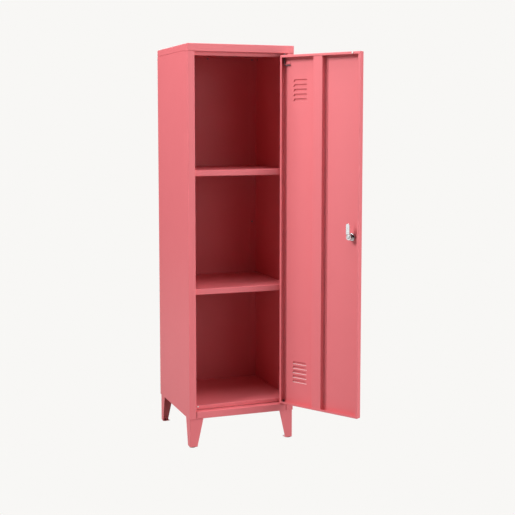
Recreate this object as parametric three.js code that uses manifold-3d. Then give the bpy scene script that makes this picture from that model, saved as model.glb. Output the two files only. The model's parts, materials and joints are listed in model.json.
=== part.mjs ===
// A tall one-door steel locker cabinet on four tapered legs, drawn with its door standing open.
// Millimetres. +Z is up, the door side faces -Y and the hinges are on the +X side.
// The origin is on the floor, in the middle of the four feet.
import * as THREE from "three";
import { ConvexGeometry } from "three/addons/geometries/ConvexGeometry.js";
import { mergeVertices } from "three/addons/utils/BufferGeometryUtils.js";
import Module from "manifold-3d";

// ---------------------------------------------------------------- driving sizes

const WIDTH = 380;
const DEPTH = 380;
const HEIGHT = 1370;
const SHEET = 0.8; // steel sheet of the body, door and shelves
const BEND = 1.0; // inside radius of a fold
const GAP = 0.3; // between pieces that touch

const LEG_HEIGHT = 100;
const LEG_INSET = 2; // legs stand in from the body's faces
const LEG_SHEET = 1.2;
const LEG_TOP = 48; // width of a leg's face under the body
const LEG_FOOT = 26; // and at the floor
const FOOT_PLATE = 24;
const GLIDE_HEIGHT = 1.2;
const GLIDE_RADIUS = 11;
const GLIDE_STEM = 3;

const STILE_WIDTH = 25; // front post, folded from the side panel
const BACK_FLANGE = 27;
const SKIRT_FRONT = 26; // the cap's rim, deeper over the door
const SKIRT_SIDE = 22;
const SKIRT_CORNER = 32; // the deep rim turns this far round each front corner
const SKIRT_RETURN = 23;
const SEAM = 1.2; // open joint line under the cap and at the front rail's ends

const RAIL_HEIGHT = 25; // front rail under the door
const RAIL_FOOT = 10;
const RAIL_END = 12; // flange folded in at each end of the rail
const LEDGE_DEPTH = 40; // top of the rail, from the front to under the floor
const FLOOR_LEVEL = 40; // top of the floor above the body's lower edge
const CEILING_DROP = 20; // underside of the ceiling below the cap's top
const CEILING_FLANGE = 12;
const FLOOR_FLANGE = 13;
const STOP_LIP_TOP = 18; // door stop folded down from the ceiling

const SHELF_TOPS = [544.5, 949]; // heights of the two shelf surfaces
const SHELF_EDGE = 20; // folded front edge
const SHELF_EDGE_RETURN = 10;
const SHELF_FLANGE = 15;
const RUNNER_WIDTH = 13;
const RUNNER_HEIGHT = 14;

const DOOR_GAP = 2; // door to posts and front rail
const DOOR_TOP_GAP = 6.5; // door to cap
const DOOR_DEPTH = 20;
const STOP_CLEARANCE = 5; // shut door to the plane of the door stops
const DOOR_LIP = 8; // turned-in lip round the door's inner side
const DOOR_REST_ANGLE = 121; // degrees that the door stands open
const PIVOT_IN = 7; // hinge line from the door's hinge edge
const PIVOT_BACK = 4.5; // and from its front face
const PIN_RADIUS = 2;
const RUN_CLEARANCE = 0.3; // round a pin, plug or key

const STIFFENER_CENTRE = 157.5; // from the hinge edge
const STIFFENER_FACE = 38;
const STIFFENER_FOOT = 10;

const LOUVRE_COUNT = 5; // in each of two groups
const LOUVRE_PITCH = 16.2;
const LOUVRE_WIDTH = 64;
const LOUVRE_HEIGHT = 11;
const LOUVRE_HOOD = 4.5;
const LOUVRE_TAPER = 6; // each end leans in towards the top
const LOUVRE_CENTRE = 73.5; // from the hinge edge
const LOUVRE_GROUP_INSET = 118; // group centre from the door's end

const LOCK_FROM_EDGE = 38; // lock axis from the free edge
const BARREL_RADIUS = 9.4;
const BARREL_FLATS = 16.5;
const BARREL_PAST_LIP = 1; // the lock's barrel ends this far past the door's lip
const LOCK_FLANGE_RADIUS = 11.5;
const LOCK_FLANGE = 2.2;
const PLUG_RADIUS = 6;
const PLUG_SQUARE = 7;
const NUT_ACROSS = 24;
const NUT_HEIGHT = 3.5;
const CAM_LENGTH = 46;
const CAM_WIDTH = 13.5;
const CAM_SHEET = 2;
const CAM_CRANK = 4.5; // tongue stands inward of the hub
const CAM_HUB_RADIUS = 9;
const KEY_THICKNESS = 2;
const KEY_BLADE = 7.5;
const KEY_BLADE_LENGTH = 18;
const KEY_BOW_RADIUS = 11;

const SCREW_SHANK = 1.6;
const SCREW_HEAD = 3.2;
const SCREW_HEAD_HEIGHT = 1.9;
const LEG_SCREW_SHANK = 2.5;
const LEG_SCREW_HEAD = 4.5;
const LEG_SCREW_HEAD_HEIGHT = 2.6;
const BUMPER_RADIUS = 3.2;
const BUMPER_HEIGHT = 3;
const BUMPER_INSET = 30; // door bumper from the free edge
const FLOOR_BUMPER_INSET = 12; // floor bumper from the left post
const SIDE_SCREW_INSET = 24; // ceiling's side screws from the back
const TAB_OVERLAP = 10; // leg tabs stop this far inside the legs' inner edges

const ROUND = 20; // sides of a round piece
const SMALL_ROUND = 12;

// ---------------------------------------------------------------- sizes that follow

const HALF_W = WIDTH / 2;
const HALF_D = DEPTH / 2;
const WALL_IN = HALF_W - SHEET; // inner face of a side wall
const REAR_OUT = HALF_D - SHEET - GAP; // outer face of the side panel's back flange
const REAR_IN = REAR_OUT - SHEET;
const OPENING_HALF = HALF_W - STILE_WIDTH;
const STOP_Y = -HALF_D + DOOR_DEPTH + STOP_CLEARANCE; // where post returns, stops and shelves end
const BODY_BASE = LEG_HEIGHT;
const CAP_BASE_FRONT = HEIGHT - SKIRT_FRONT;
const CAP_BASE_SIDE = HEIGHT - SKIRT_SIDE;
const LEDGE = BODY_BASE + RAIL_HEIGHT; // top of the front rail
const FLOOR_TOP = BODY_BASE + FLOOR_LEVEL;
const CEILING_TOP = HEIGHT - CEILING_DROP + SHEET;

const DOOR_WIDTH = 2 * (OPENING_HALF - DOOR_GAP);
const DOOR_BASE = LEDGE + DOOR_GAP;
const DOOR_HEAD = CAP_BASE_FRONT - DOOR_TOP_GAP;
const DOOR_MIDDLE = (DOOR_BASE + DOOR_HEAD) / 2;
const PIVOT = [OPENING_HALF - DOOR_GAP - PIVOT_IN, -HALF_D + PIVOT_BACK];
const PIN_HOLE = PIN_RADIUS + RUN_CLEARANCE;
const BARREL_LENGTH = DOOR_DEPTH + BARREL_PAST_LIP;

// ---------------------------------------------------------------- materials

const paint = new THREE.MeshStandardMaterial({ color: 0xe06a73, roughness: 0.45, metalness: 0.0 });
const zinc = new THREE.MeshStandardMaterial({ color: 0xc9cccf, roughness: 0.3, metalness: 1.0 });
const chrome = new THREE.MeshStandardMaterial({ color: 0xdfe2e4, roughness: 0.12, metalness: 1.0 });
const darkSteel = new THREE.MeshStandardMaterial({ color: 0x5b5456, roughness: 0.4, metalness: 1.0 });
const nylon = new THREE.MeshStandardMaterial({ color: 0x2a2a2c, roughness: 0.6, metalness: 0.0 });
const silicone = new THREE.MeshStandardMaterial({ color: 0xf2efec, roughness: 0.3, metalness: 0.0 });

// ---------------------------------------------------------------- solids

const wasm = await Module();
wasm.setup();

function toSolid(geometry) {
  const bare = geometry.clone();
  bare.deleteAttribute("normal");
  bare.deleteAttribute("uv");
  const merged = mergeVertices(bare, 1e-4);
  const vertProperties = merged.attributes.position.array;
  const triVerts = new Uint32Array(merged.index.array);
  return new wasm.Manifold(new wasm.Mesh({ numProp: 3, vertProperties, triVerts }));
}

function toGeometry(solid) {
  const mesh = solid.getMesh();
  const geometry = new THREE.BufferGeometry();
  geometry.setAttribute("position", new THREE.BufferAttribute(mesh.vertProperties, 3));
  geometry.setIndex(new THREE.BufferAttribute(mesh.triVerts, 1));
  const flat = geometry.toNonIndexed();
  flat.computeVertexNormals();
  return flat;
}

const join = (...parts) => toGeometry(parts.map(toSolid).reduce((a, b) => a.add(b)));
const cut = (body, ...tools) =>
  toGeometry(tools.map(toSolid).reduce((a, b) => a.subtract(b), toSolid(body)));

// A block between two corners.
function block(x0, x1, y0, y1, z0, z1) {
  const geometry = new THREE.BoxGeometry(x1 - x0, y1 - y0, z1 - z0);
  return geometry.translate((x0 + x1) / 2, (y0 + y1) / 2, (z0 + z1) / 2);
}

// A round piece standing on z0, given as [radius, height above z0] pairs from the axis round to the axis.
function turned(profile, sides = ROUND) {
  const points = profile.map(([radius, height]) => new THREE.Vector2(radius, height));
  return new THREE.LatheGeometry(points, sides).rotateX(Math.PI / 2);
}

const rod = (radius, z0, z1, sides = ROUND) =>
  turned([[0, z0], [radius, z0], [radius, z1], [0, z1]], sides);

// Prism of an outline in XY from z0 to z1.
function prism(outline, z0, z1) {
  const drawn = outline instanceof THREE.Shape;
  const shape = drawn ? outline : new THREE.Shape(outline.map(([x, y]) => new THREE.Vector2(x, y)));
  const settings = { depth: z1 - z0, bevelEnabled: false, curveSegments: 8 };
  return new THREE.ExtrudeGeometry(shape, settings).translate(0, 0, z0);
}

// Turns a piece drawn along +Z so that it points along +X, +Y or -Y.
const alongX = (geometry) => geometry.rotateY(Math.PI / 2);
const alongY = (geometry) => geometry.rotateX(-Math.PI / 2);
const alongMinusY = (geometry) => geometry.rotateX(Math.PI / 2);

// Section of a folded sheet: the corners run along one face and the sheet lies to their left.
function foldedSection(corners, sheet = SHEET, bend = BEND) {
  const face = [];
  const back = [];
  const points = corners.map(([x, y]) => new THREE.Vector2(x, y));
  const direction = (a, b) => b.clone().sub(a).normalize();
  const left = (d) => new THREE.Vector2(-d.y, d.x);
  points.forEach((point, i) => {
    if (i === 0 || i === points.length - 1) {
      const d = i === 0 ? direction(point, points[1]) : direction(points[i - 1], point);
      face.push(point);
      back.push(point.clone().addScaledVector(left(d), sheet));
      return;
    }
    const before = direction(points[i - 1], point);
    const after = direction(point, points[i + 1]);
    const turn = Math.atan2(before.cross(after), before.dot(after));
    const side = Math.sign(turn);
    const radius = side > 0 ? bend + sheet : bend;
    const start = point.clone().addScaledVector(before, -radius * Math.tan(Math.abs(turn) / 2));
    const centre = start.clone().addScaledVector(left(before), side * radius);
    const arm = start.clone().sub(centre);
    const steps = 3;
    for (let k = 0; k <= steps; k++) {
      const spoke = arm.clone().rotateAround(new THREE.Vector2(), (turn * k) / steps);
      face.push(centre.clone().add(spoke));
      back.push(centre.clone().addScaledVector(spoke, (radius - side * sheet) / radius));
    }
  });
  return new THREE.Shape([...face, ...back.reverse()]);
}

// ---------------------------------------------------------------- the group

const cabinet = new THREE.Group();
const body = new THREE.Group();
cabinet.add(body);

function place(group, name, geometry, material, mirror = [1, 1]) {
  const mesh = new THREE.Mesh(geometry, material);
  mesh.name = name;
  mesh.scale.set(mirror[0], mirror[1], 1);
  group.add(mesh);
  return mesh;
}

const SIDES = [["left", -1], ["right", 1]];
const CORNERS = [
  ["front_left", -1, 1],
  ["front_right", 1, 1],
  ["rear_left", -1, -1],
  ["rear_right", 1, -1],
];

// Where the fasteners go. Leg screws are given for the front right leg.
const BACK_SCREW_X = HALF_W - BACK_FLANGE * 0.6;
const CEILING_SCREW_Z = CEILING_TOP - SHEET - CEILING_FLANGE / 2;
const FLOOR_SCREW_Z = FLOOR_TOP - SHEET - FLOOR_FLANGE / 2;
const MIDDLE_SCREW_Z = (SHELF_TOPS[0] + SHELF_TOPS[1]) / 2 - SHELF_EDGE / 2;
const BACK_SCREW_ROWS = [
  ["top", CEILING_SCREW_Z, true],
  ["middle", MIDDLE_SCREW_Z, false],
  ["bottom", FLOOR_SCREW_Z, true],
];
const CEILING_SCREW_Y = REAR_IN - GAP - SIDE_SCREW_INSET;
const screwHole = (z0, z1) => rod(SCREW_SHANK + GAP, z0, z1, SMALL_ROUND);
const LEG_SCREWS = [
  [HALF_W - LEG_INSET - 10, -HALF_D + LEG_INSET + 28],
  [OPENING_HALF - 5, -HALF_D + LEG_INSET + 16],
];

// ---------------------------------------------------------------- side panels, back and cap

// Right side panel: front post, wall and back flange folded from one sheet, with a tab over each leg.
function sidePanel() {
  const section = foldedSection([
    [OPENING_HALF, STOP_Y],
    [OPENING_HALF, -HALF_D],
    [HALF_W, -HALF_D],
    [HALF_W, REAR_OUT],
    [HALF_W - BACK_FLANGE, REAR_OUT],
  ]);
  const tabBase = BODY_BASE + SHEET + GAP;
  const tabTop = tabBase + LEG_SHEET;
  const tabEdge = HALF_W - LEG_INSET - LEG_TOP + TAB_OVERLAP;
  const tabFront = [
    block(OPENING_HALF + SHEET / 2, WALL_IN + SHEET / 2, -HALF_D + SHEET / 2, -tabEdge, tabBase, tabTop),
    block(tabEdge, OPENING_HALF + SHEET, -HALF_D + SHEET + GAP, -tabEdge, tabBase, tabTop),
  ];
  const tabRear = block(tabEdge, WALL_IN + SHEET / 2, tabEdge, REAR_IN + SHEET / 2, tabBase, tabTop);
  const sheet = join(prism(section, BODY_BASE, CAP_BASE_SIDE - SEAM), ...tabFront, tabRear);
  const cuts = [
    block(OPENING_HALF - 1, HALF_W + 1, -HALF_D - 1, -HALF_D + SKIRT_CORNER, CAP_BASE_FRONT - GAP, HEIGHT),
  ];
  for (const [, z] of BACK_SCREW_ROWS) {
    cuts.push(alongY(screwHole(REAR_IN - 1, REAR_OUT + 1)).translate(BACK_SCREW_X, 0, z));
  }
  const sideHole = alongX(screwHole(WALL_IN - 1, HALF_W - SHEET / 4));
  cuts.push(sideHole.translate(0, CEILING_SCREW_Y, CEILING_SCREW_Z));
  for (const [x, y] of LEG_SCREWS) {
    for (const flip of [1, -1]) {
      cuts.push(rod(LEG_SCREW_SHANK + GAP, tabBase - 1, tabTop + 1, SMALL_ROUND).translate(x, flip * y, 0));
    }
  }
  return cut(sheet, ...cuts);
}

for (const [side, sign] of SIDES) {
  place(body, `${side}_side_panel`, sidePanel(), paint, [sign, 1]);
}

// The back lies flat behind the side panels' flanges.
function backPanel() {
  const sheet = block(-HALF_W, HALF_W, HALF_D - SHEET, HALF_D, BODY_BASE, CAP_BASE_SIDE - SEAM);
  const hole = (x, z) => alongY(screwHole(HALF_D - SHEET - 1, HALF_D + 1)).translate(x, 0, z);
  const holes = BACK_SCREW_ROWS.flatMap(([, z]) => [hole(-BACK_SCREW_X, z), hole(BACK_SCREW_X, z)]);
  return cut(sheet, ...holes, hole(0, CEILING_SCREW_Z));
}

place(body, "back_panel", backPanel(), paint);

// A tray turned upside down, with a return under the front rim that holds the upper hinge pin.
function topCap() {
  const shell = cut(
    block(-HALF_W, HALF_W, -HALF_D, HALF_D, CAP_BASE_FRONT, HEIGHT),
    block(-WALL_IN, WALL_IN, -HALF_D + SHEET, HALF_D - SHEET, CAP_BASE_FRONT + SHEET, HEIGHT - SHEET),
  );
  const low = CAP_BASE_FRONT - 1;
  const past = CAP_BASE_FRONT + SHEET + 1;
  return cut(
    shell,
    block(-WALL_IN, WALL_IN, -HALF_D + SKIRT_RETURN, HALF_D - SHEET, low, past),
    block(-HALF_W - 1, HALF_W + 1, -HALF_D + SKIRT_CORNER, HALF_D + 1, low, CAP_BASE_SIDE),
    rod(PIN_HOLE, low, past).translate(PIVOT[0], PIVOT[1], 0),
  );
}

place(body, "top_cap", topCap(), paint);

// ---------------------------------------------------------------- ceiling, floor and front rail

// A flat lining with flanges folded down all round and a door stop folded down in front.
function lining(top, flange, lip) {
  const edge = WALL_IN - GAP;
  const back = REAR_IN - GAP;
  const front = STOP_Y + GAP;
  const tray = cut(
    block(-edge, edge, front, back, top - SHEET - flange, top),
    block(-edge + SHEET, edge - SHEET, front - 1, back - SHEET, top - SHEET - flange - 1, top - SHEET),
  );
  const stopHalf = OPENING_HALF - GAP;
  const stop = block(-stopHalf, stopHalf, STOP_Y - SHEET, STOP_Y, top - SHEET - lip, top);
  const bridge = block(-stopHalf, stopHalf, STOP_Y - SHEET, front + 1, top - SHEET, top);
  return join(tray, stop, bridge);
}

const rearHole = (x, z) => alongY(screwHole(REAR_IN - GAP - SHEET - 1, REAR_IN)).translate(x, 0, z);

const ceilingHoles = [-BACK_SCREW_X, 0, BACK_SCREW_X].map((x) => rearHole(x, CEILING_SCREW_Z));
for (const [, sign] of SIDES) {
  const hole = alongX(screwHole(WALL_IN - GAP - SHEET - 1, WALL_IN));
  if (sign < 0) hole.rotateZ(Math.PI);
  ceilingHoles.push(hole.translate(0, CEILING_SCREW_Y, CEILING_SCREW_Z));
}
const ceiling = lining(CEILING_TOP, CEILING_FLANGE, STOP_LIP_TOP);
place(body, "ceiling_panel", cut(ceiling, ...ceilingHoles), paint);

const floorHoles = [-BACK_SCREW_X, BACK_SCREW_X].map((x) => rearHole(x, FLOOR_SCREW_Z));
const floor = lining(FLOOR_TOP, FLOOR_FLANGE - SHEET, FLOOR_FLANGE - SHEET);
place(body, "floor_panel", cut(floor, ...floorHoles), paint);

// Channel under the door. Its top is the ledge that carries the lower hinge pin.
function frontRail() {
  const section = foldedSection([
    [HALF_D - RAIL_FOOT, BODY_BASE],
    [HALF_D, BODY_BASE],
    [HALF_D, LEDGE],
    [HALF_D - LEDGE_DEPTH, LEDGE],
  ]);
  const half = OPENING_HALF - SEAM;
  const channel = prism(section, -half, half).rotateX(Math.PI / 2).rotateZ(-Math.PI / 2);
  const aboveTabs = BODY_BASE + SHEET + GAP + LEG_SHEET + GAP;
  const ends = [-half, half - SHEET].map((x) =>
    block(x, x + SHEET, -HALF_D + SHEET / 2, -HALF_D + RAIL_END, aboveTabs, LEDGE - SHEET / 2),
  );
  const hole = rod(PIN_HOLE, LEDGE - SHEET - 1, LEDGE + 1).translate(PIVOT[0], PIVOT[1], 0);
  return cut(join(channel, ...ends), hole);
}

place(body, "front_rail", frontRail(), paint);

// ---------------------------------------------------------------- shelves

const SHELF_EDGE_X = WALL_IN - 2 * GAP - SHEET;

function shelf(top) {
  const front = STOP_Y + 2 * GAP;
  const back = REAR_IN - 2 * GAP;
  const end = SHELF_EDGE_X;
  const inner = SHELF_EDGE_X - SHEET;
  const tray = cut(
    block(-end, end, front, back, top - SHELF_FLANGE, top),
    block(-inner, inner, front + SHEET, back - SHEET, top - SHELF_FLANGE - 1, top - SHEET),
  );
  const low = top - SHELF_EDGE;
  const edge = block(-end, end, front, front + SHEET, low, top);
  const lip = block(-end, end, front, front + SHELF_EDGE_RETURN, low, low + SHEET);
  return join(tray, edge, lip);
}

// Angle on the side wall that the shelf's flange stands on.
function runner(top) {
  const seat = top - SHELF_FLANGE - GAP;
  const outer = WALL_IN - GAP;
  const front = STOP_Y + SHELF_EDGE_RETURN + 5;
  const back = REAR_IN - 20;
  return join(
    block(outer - SHEET, outer, front, back, seat - SHEET, seat - SHEET + RUNNER_HEIGHT),
    block(outer - RUNNER_WIDTH, outer, front, back, seat - SHEET, seat),
  );
}

["lower", "upper"].forEach((level, i) => {
  place(body, `${level}_shelf`, shelf(SHELF_TOPS[i]), paint);
  for (const [side, sign] of SIDES) {
    place(body, `${level}_shelf_${side}_runner`, runner(SHELF_TOPS[i]), paint, [sign, 1]);
  }
});

// ---------------------------------------------------------------- legs and glides

const FOOT_CENTRE = [HALF_W - LEG_INSET - FOOT_PLATE / 2, -HALF_D + LEG_INSET + FOOT_PLATE / 2];
const FOOT_BASE = GLIDE_HEIGHT + GAP;

// Front right leg: two tapering faces folded at the outer corner, a plate on top and one at the foot.
function leg() {
  const x = HALF_W - LEG_INSET;
  const y = -HALF_D + LEG_INSET;
  const top = LEG_HEIGHT - GAP;
  const face = (corner) => {
    const outline = [
      [corner, FOOT_BASE],
      [corner, top],
      [corner - LEG_TOP, top],
      [corner - LEG_FOOT, FOOT_BASE],
    ];
    return prism(outline, 0, LEG_SHEET).rotateX(Math.PI / 2);
  };
  const front = face(x).translate(0, y + LEG_SHEET, 0);
  const side = face(-y).rotateZ(-Math.PI / 2).translate(x - LEG_SHEET, 0, 0);
  const narrow = 8;
  const plate = prism(
    [[x, y], [x, y + LEG_TOP], [x - narrow, y + LEG_TOP], [x - LEG_TOP, y + narrow], [x - LEG_TOP, y]],
    top - LEG_SHEET,
    top,
  );
  const foot = block(x - FOOT_PLATE, x, y, y + FOOT_PLATE, FOOT_BASE, FOOT_BASE + LEG_SHEET);
  const hole = (radius, sheetBase, spot) =>
    rod(radius + GAP, sheetBase - 1, sheetBase + LEG_SHEET + 1, SMALL_ROUND).translate(...spot, 0);
  const screwHoles = LEG_SCREWS.map((spot) => hole(LEG_SCREW_SHANK, top - LEG_SHEET, spot));
  const stemHole = hole(GLIDE_STEM, FOOT_BASE, FOOT_CENTRE);
  return cut(join(front, side, plate, foot), ...screwHoles, stemHole);
}

function glide() {
  const chamfer = 0.4;
  const stemTop = FOOT_BASE + LEG_SHEET + 4;
  const profile = [
    [0, 0],
    [GLIDE_RADIUS - chamfer, 0],
    [GLIDE_RADIUS, chamfer],
    [GLIDE_RADIUS, GLIDE_HEIGHT],
    [GLIDE_STEM, GLIDE_HEIGHT],
    [GLIDE_STEM, stemTop - 1],
    [GLIDE_STEM - 1, stemTop],
    [0, stemTop],
  ];
  return turned(profile).translate(...FOOT_CENTRE, 0);
}

function legScrew([x, y]) {
  const seat = LEG_HEIGHT - GAP - LEG_SHEET - GAP;
  const end = BODY_BASE + SHEET + GAP + LEG_SHEET + 3;
  const profile = [
    [0, seat - LEG_SCREW_HEAD_HEIGHT],
    [LEG_SCREW_HEAD * 0.7, seat - LEG_SCREW_HEAD_HEIGHT],
    [LEG_SCREW_HEAD, seat - LEG_SCREW_HEAD_HEIGHT * 0.4],
    [LEG_SCREW_HEAD, seat],
    [LEG_SCREW_SHANK, seat],
    [LEG_SCREW_SHANK, end],
    [0, end],
  ];
  return turned(profile, SMALL_ROUND).translate(x, y, 0);
}

for (const [corner, sx, sy] of CORNERS) {
  place(body, `${corner}_leg`, leg(), paint, [sx, sy]);
  place(body, `${corner}_glide`, glide(), nylon, [sx, sy]);
  LEG_SCREWS.forEach((spot, i) => {
    place(body, `${corner}_leg_screw_${i + 1}`, legScrew(spot), zinc, [sx, sy]);
  });
}

// ---------------------------------------------------------------- screws seen inside

// A pan-head screw along +Z whose head rests on the plane z = 0 from below.
function panScrew(length) {
  return turned(
    [
      [0, -SCREW_HEAD_HEIGHT],
      [SCREW_HEAD * 0.6, -SCREW_HEAD_HEIGHT],
      [SCREW_HEAD, -SCREW_HEAD_HEIGHT * 0.4],
      [SCREW_HEAD, 0],
      [SCREW_SHANK, 0],
      [SCREW_SHANK, length],
      [0, length],
    ],
    SMALL_ROUND,
  );
}

const UNDER_FLANGE = REAR_IN - 2 * GAP - SHEET; // head seat where a lining's flange comes first
const ON_FLANGE = REAR_IN - GAP;
const SCREW_END = HALF_D - 0.1;

for (const [side, sign] of SIDES) {
  for (const [row, z, lined] of BACK_SCREW_ROWS) {
    const seat = lined ? UNDER_FLANGE : ON_FLANGE;
    const screw = alongY(panScrew(SCREW_END - seat)).translate(sign * BACK_SCREW_X, seat, z);
    place(body, `back_screw_${side}_${row}`, screw, zinc);
  }
  const seat = WALL_IN - 2 * GAP - SHEET;
  const screw = alongX(panScrew(HALF_W - SHEET / 2 - seat));
  screw.translate(seat, CEILING_SCREW_Y, CEILING_SCREW_Z);
  place(body, `ceiling_screw_${side}`, screw, zinc, [sign, 1]);
}
const rearScrew = alongY(panScrew(SCREW_END - UNDER_FLANGE)).translate(0, UNDER_FLANGE, CEILING_SCREW_Z);
place(body, "ceiling_screw_rear", rearScrew, zinc);

// ---------------------------------------------------------------- door

// Inside this group x runs from the hinge edge to the free edge and y = 0 is the door's front face,
// with the cabinet side at negative y.
const hinge = new THREE.Group();
hinge.position.set(PIVOT[0], PIVOT[1], 0);
hinge.rotation.z = Math.PI + THREE.MathUtils.degToRad(DOOR_REST_ANGLE);
const door = new THREE.Group();
door.position.set(-PIVOT_IN, PIVOT_BACK, 0);
hinge.add(door);
cabinet.add(hinge);

const LOCK_X = DOOR_WIDTH - LOCK_FROM_EDGE;

// One louvre's hood, open along its lower edge, shrunk by an inset.
function hood(inset, base) {
  const low = -LOUVRE_HEIGHT / 2 - (inset ? 0.2 : 0);
  const high = LOUVRE_HEIGHT / 2 - inset;
  const out = LOUVRE_HOOD - inset;
  const half = LOUVRE_WIDTH / 2 - inset;
  const crest = LOUVRE_HEIGHT * 0.05 - inset;
  const points = [
    [-half, base, low], [half, base, low],
    [-half + LOUVRE_TAPER, base, high], [half - LOUVRE_TAPER, base, high],
    [-half + 2, out, low], [half - 2, out, low],
    [-half + LOUVRE_TAPER, out, crest], [half - LOUVRE_TAPER, out, crest],
  ];
  return new ConvexGeometry(points.map(([x, y, z]) => new THREE.Vector3(x, y, z)));
}

function louvreSpots() {
  const spots = [];
  for (const centre of [DOOR_BASE + LOUVRE_GROUP_INSET, DOOR_HEAD - LOUVRE_GROUP_INSET]) {
    for (let i = 0; i < LOUVRE_COUNT; i++) {
      spots.push(centre + (i - (LOUVRE_COUNT - 1) / 2) * LOUVRE_PITCH);
    }
  }
  return spots;
}

function doorPan() {
  const inset = (edge, y0, y1) =>
    block(edge, DOOR_WIDTH - edge, y0, y1, DOOR_BASE + edge, DOOR_HEAD - edge);
  const shell = cut(
    inset(0, -DOOR_DEPTH, 0),
    inset(SHEET, -DOOR_DEPTH + SHEET, -SHEET),
    inset(DOOR_LIP, -DOOR_DEPTH - 1, -DOOR_DEPTH + SHEET + 1),
  );
  const hoods = louvreSpots().map((z) => hood(0, -SHEET / 2).translate(LOUVRE_CENTRE, 0, z));
  const hollows = louvreSpots().map((z) => hood(SHEET, -SHEET - 1).translate(LOUVRE_CENTRE, 0, z));
  const lockHole = alongY(rod(BARREL_RADIUS + GAP, -SHEET - 1, 1)).translate(LOCK_X, 0, DOOR_MIDDLE);
  const pinHole = (z0, z1) => rod(PIN_HOLE, z0, z1).translate(PIVOT_IN, -PIVOT_BACK, 0);
  return cut(
    join(shell, ...hoods),
    ...hollows,
    lockHole,
    pinHole(DOOR_BASE - 1, DOOR_BASE + SHEET + 1),
    pinHole(DOOR_HEAD - SHEET - 1, DOOR_HEAD + 1),
  );
}

place(door, "door_panel", doorPan(), paint);

// Hat-shaped channel up the middle of the door, its face just under the lips.
function doorStiffener() {
  const face = -DOOR_DEPTH + SHEET + GAP;
  const foot = -SHEET - GAP - SHEET;
  const x0 = STIFFENER_CENTRE - STIFFENER_FACE / 2;
  const x1 = STIFFENER_CENTRE + STIFFENER_FACE / 2;
  const section = foldedSection([
    [x0 - STIFFENER_FOOT, foot],
    [x0, foot],
    [x0, face],
    [x1, face],
    [x1, foot],
    [x1 + STIFFENER_FOOT, foot],
  ]);
  return prism(section, DOOR_BASE + SHEET + GAP, DOOR_HEAD - SHEET - GAP);
}

place(door, "door_stiffener", doorStiffener(), paint);

// ---------------------------------------------------------------- hinge pins

const PIN_TOP = CAP_BASE_FRONT + 4.5;
const BRACKET_TOP = DOOR_HEAD - 30;
const BRACKET_SHEET = 1.2;
const BRACKET_LENGTH = 30;
const BRACKET_DEPTH = 9;
const BRACKET_FLANGE = 12;
const COLLAR_BASE = BRACKET_TOP + 18;
const COLLAR_RADIUS = 3.4;
const COLLAR_HEIGHT = 1.2;
const TAIL_REACH = 32;
const TAIL_DROP = 0.5; // tail below the bracket
const SPRING_WIRE = 0.4;
const SPRING_TURNS = 6;

// Sprung upper pin: a rod bent into a finger tail below its bracket, with a collar for the spring.
function upperPin() {
  const x = PIVOT_IN;
  const y = -PIVOT_BACK;
  const tailZ = BRACKET_TOP - BRACKET_SHEET - TAIL_DROP - PIN_RADIUS;
  const bend = 3;
  const path = new THREE.CurvePath();
  const at = (px, pz) => new THREE.Vector3(px, y, pz);
  path.add(new THREE.LineCurve3(at(x, PIN_TOP), at(x, tailZ + bend)));
  path.add(new THREE.QuadraticBezierCurve3(at(x, tailZ + bend), at(x, tailZ), at(x + bend, tailZ)));
  path.add(new THREE.LineCurve3(at(x + bend, tailZ), at(TAIL_REACH, tailZ)));
  const circle = new THREE.Shape().absarc(0, 0, PIN_RADIUS, 0, 2 * Math.PI);
  const bar = new THREE.ExtrudeGeometry(circle, { steps: 32, curveSegments: 5, extrudePath: path });
  const collar = rod(COLLAR_RADIUS, COLLAR_BASE, COLLAR_BASE + COLLAR_HEIGHT).translate(x, y, 0);
  return join(bar, collar);
}

function pinBracket() {
  const low = BRACKET_TOP - BRACKET_SHEET;
  const back = -SHEET - GAP;
  const seat = block(SHEET + GAP, BRACKET_LENGTH, back - BRACKET_DEPTH, back, low, BRACKET_TOP);
  const flange = block(PIVOT_IN + 6, BRACKET_LENGTH, back - BRACKET_SHEET, back, low, low + BRACKET_FLANGE);
  const hole = rod(PIN_HOLE, low - 1, BRACKET_TOP + 1).translate(PIVOT_IN, -PIVOT_BACK, 0);
  return cut(join(seat, flange), hole);
}

class Helix extends THREE.Curve {
  constructor(radius, z0, z1, turns) {
    super();
    Object.assign(this, { radius, z0, z1, turns });
  }

  getPoint(t, target = new THREE.Vector3()) {
    const angle = 2 * Math.PI * this.turns * t;
    const z = this.z0 + (this.z1 - this.z0) * t;
    return target.set(this.radius * Math.cos(angle), this.radius * Math.sin(angle), z);
  }
}

function pinSpring() {
  const radius = PIN_HOLE + SPRING_WIRE;
  const seat = GAP + SPRING_WIRE;
  const path = new Helix(radius, BRACKET_TOP + seat, COLLAR_BASE - seat, SPRING_TURNS);
  const wire = new THREE.Shape().absarc(0, 0, SPRING_WIRE, 0, 2 * Math.PI);
  const settings = { steps: SPRING_TURNS * 12, curveSegments: 3, extrudePath: path };
  return new THREE.ExtrudeGeometry(wire, settings).translate(PIVOT_IN, -PIVOT_BACK, 0);
}

// Lower pin: a headed stud in the door's lower edge that stands in the front rail's ledge.
function lowerPin() {
  const seat = DOOR_BASE + SHEET + GAP;
  const head = PIVOT_BACK - SHEET - GAP;
  return turned([
    [0, LEDGE - 6],
    [PIN_RADIUS - 0.6, LEDGE - 6],
    [PIN_RADIUS, LEDGE - 5],
    [PIN_RADIUS, seat],
    [head, seat],
    [head, seat + 8.5],
    [head - 0.8, seat + 9.5],
    [0, seat + 9.5],
  ]).translate(PIVOT_IN, -PIVOT_BACK, 0);
}

function hingeWasher() {
  const outer = PIVOT_BACK - GAP;
  const ring = rod(outer, LEDGE + GAP, DOOR_BASE - GAP);
  return cut(ring, rod(PIN_HOLE, LEDGE, DOOR_BASE)).translate(PIVOT[0], PIVOT[1], 0);
}

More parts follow.
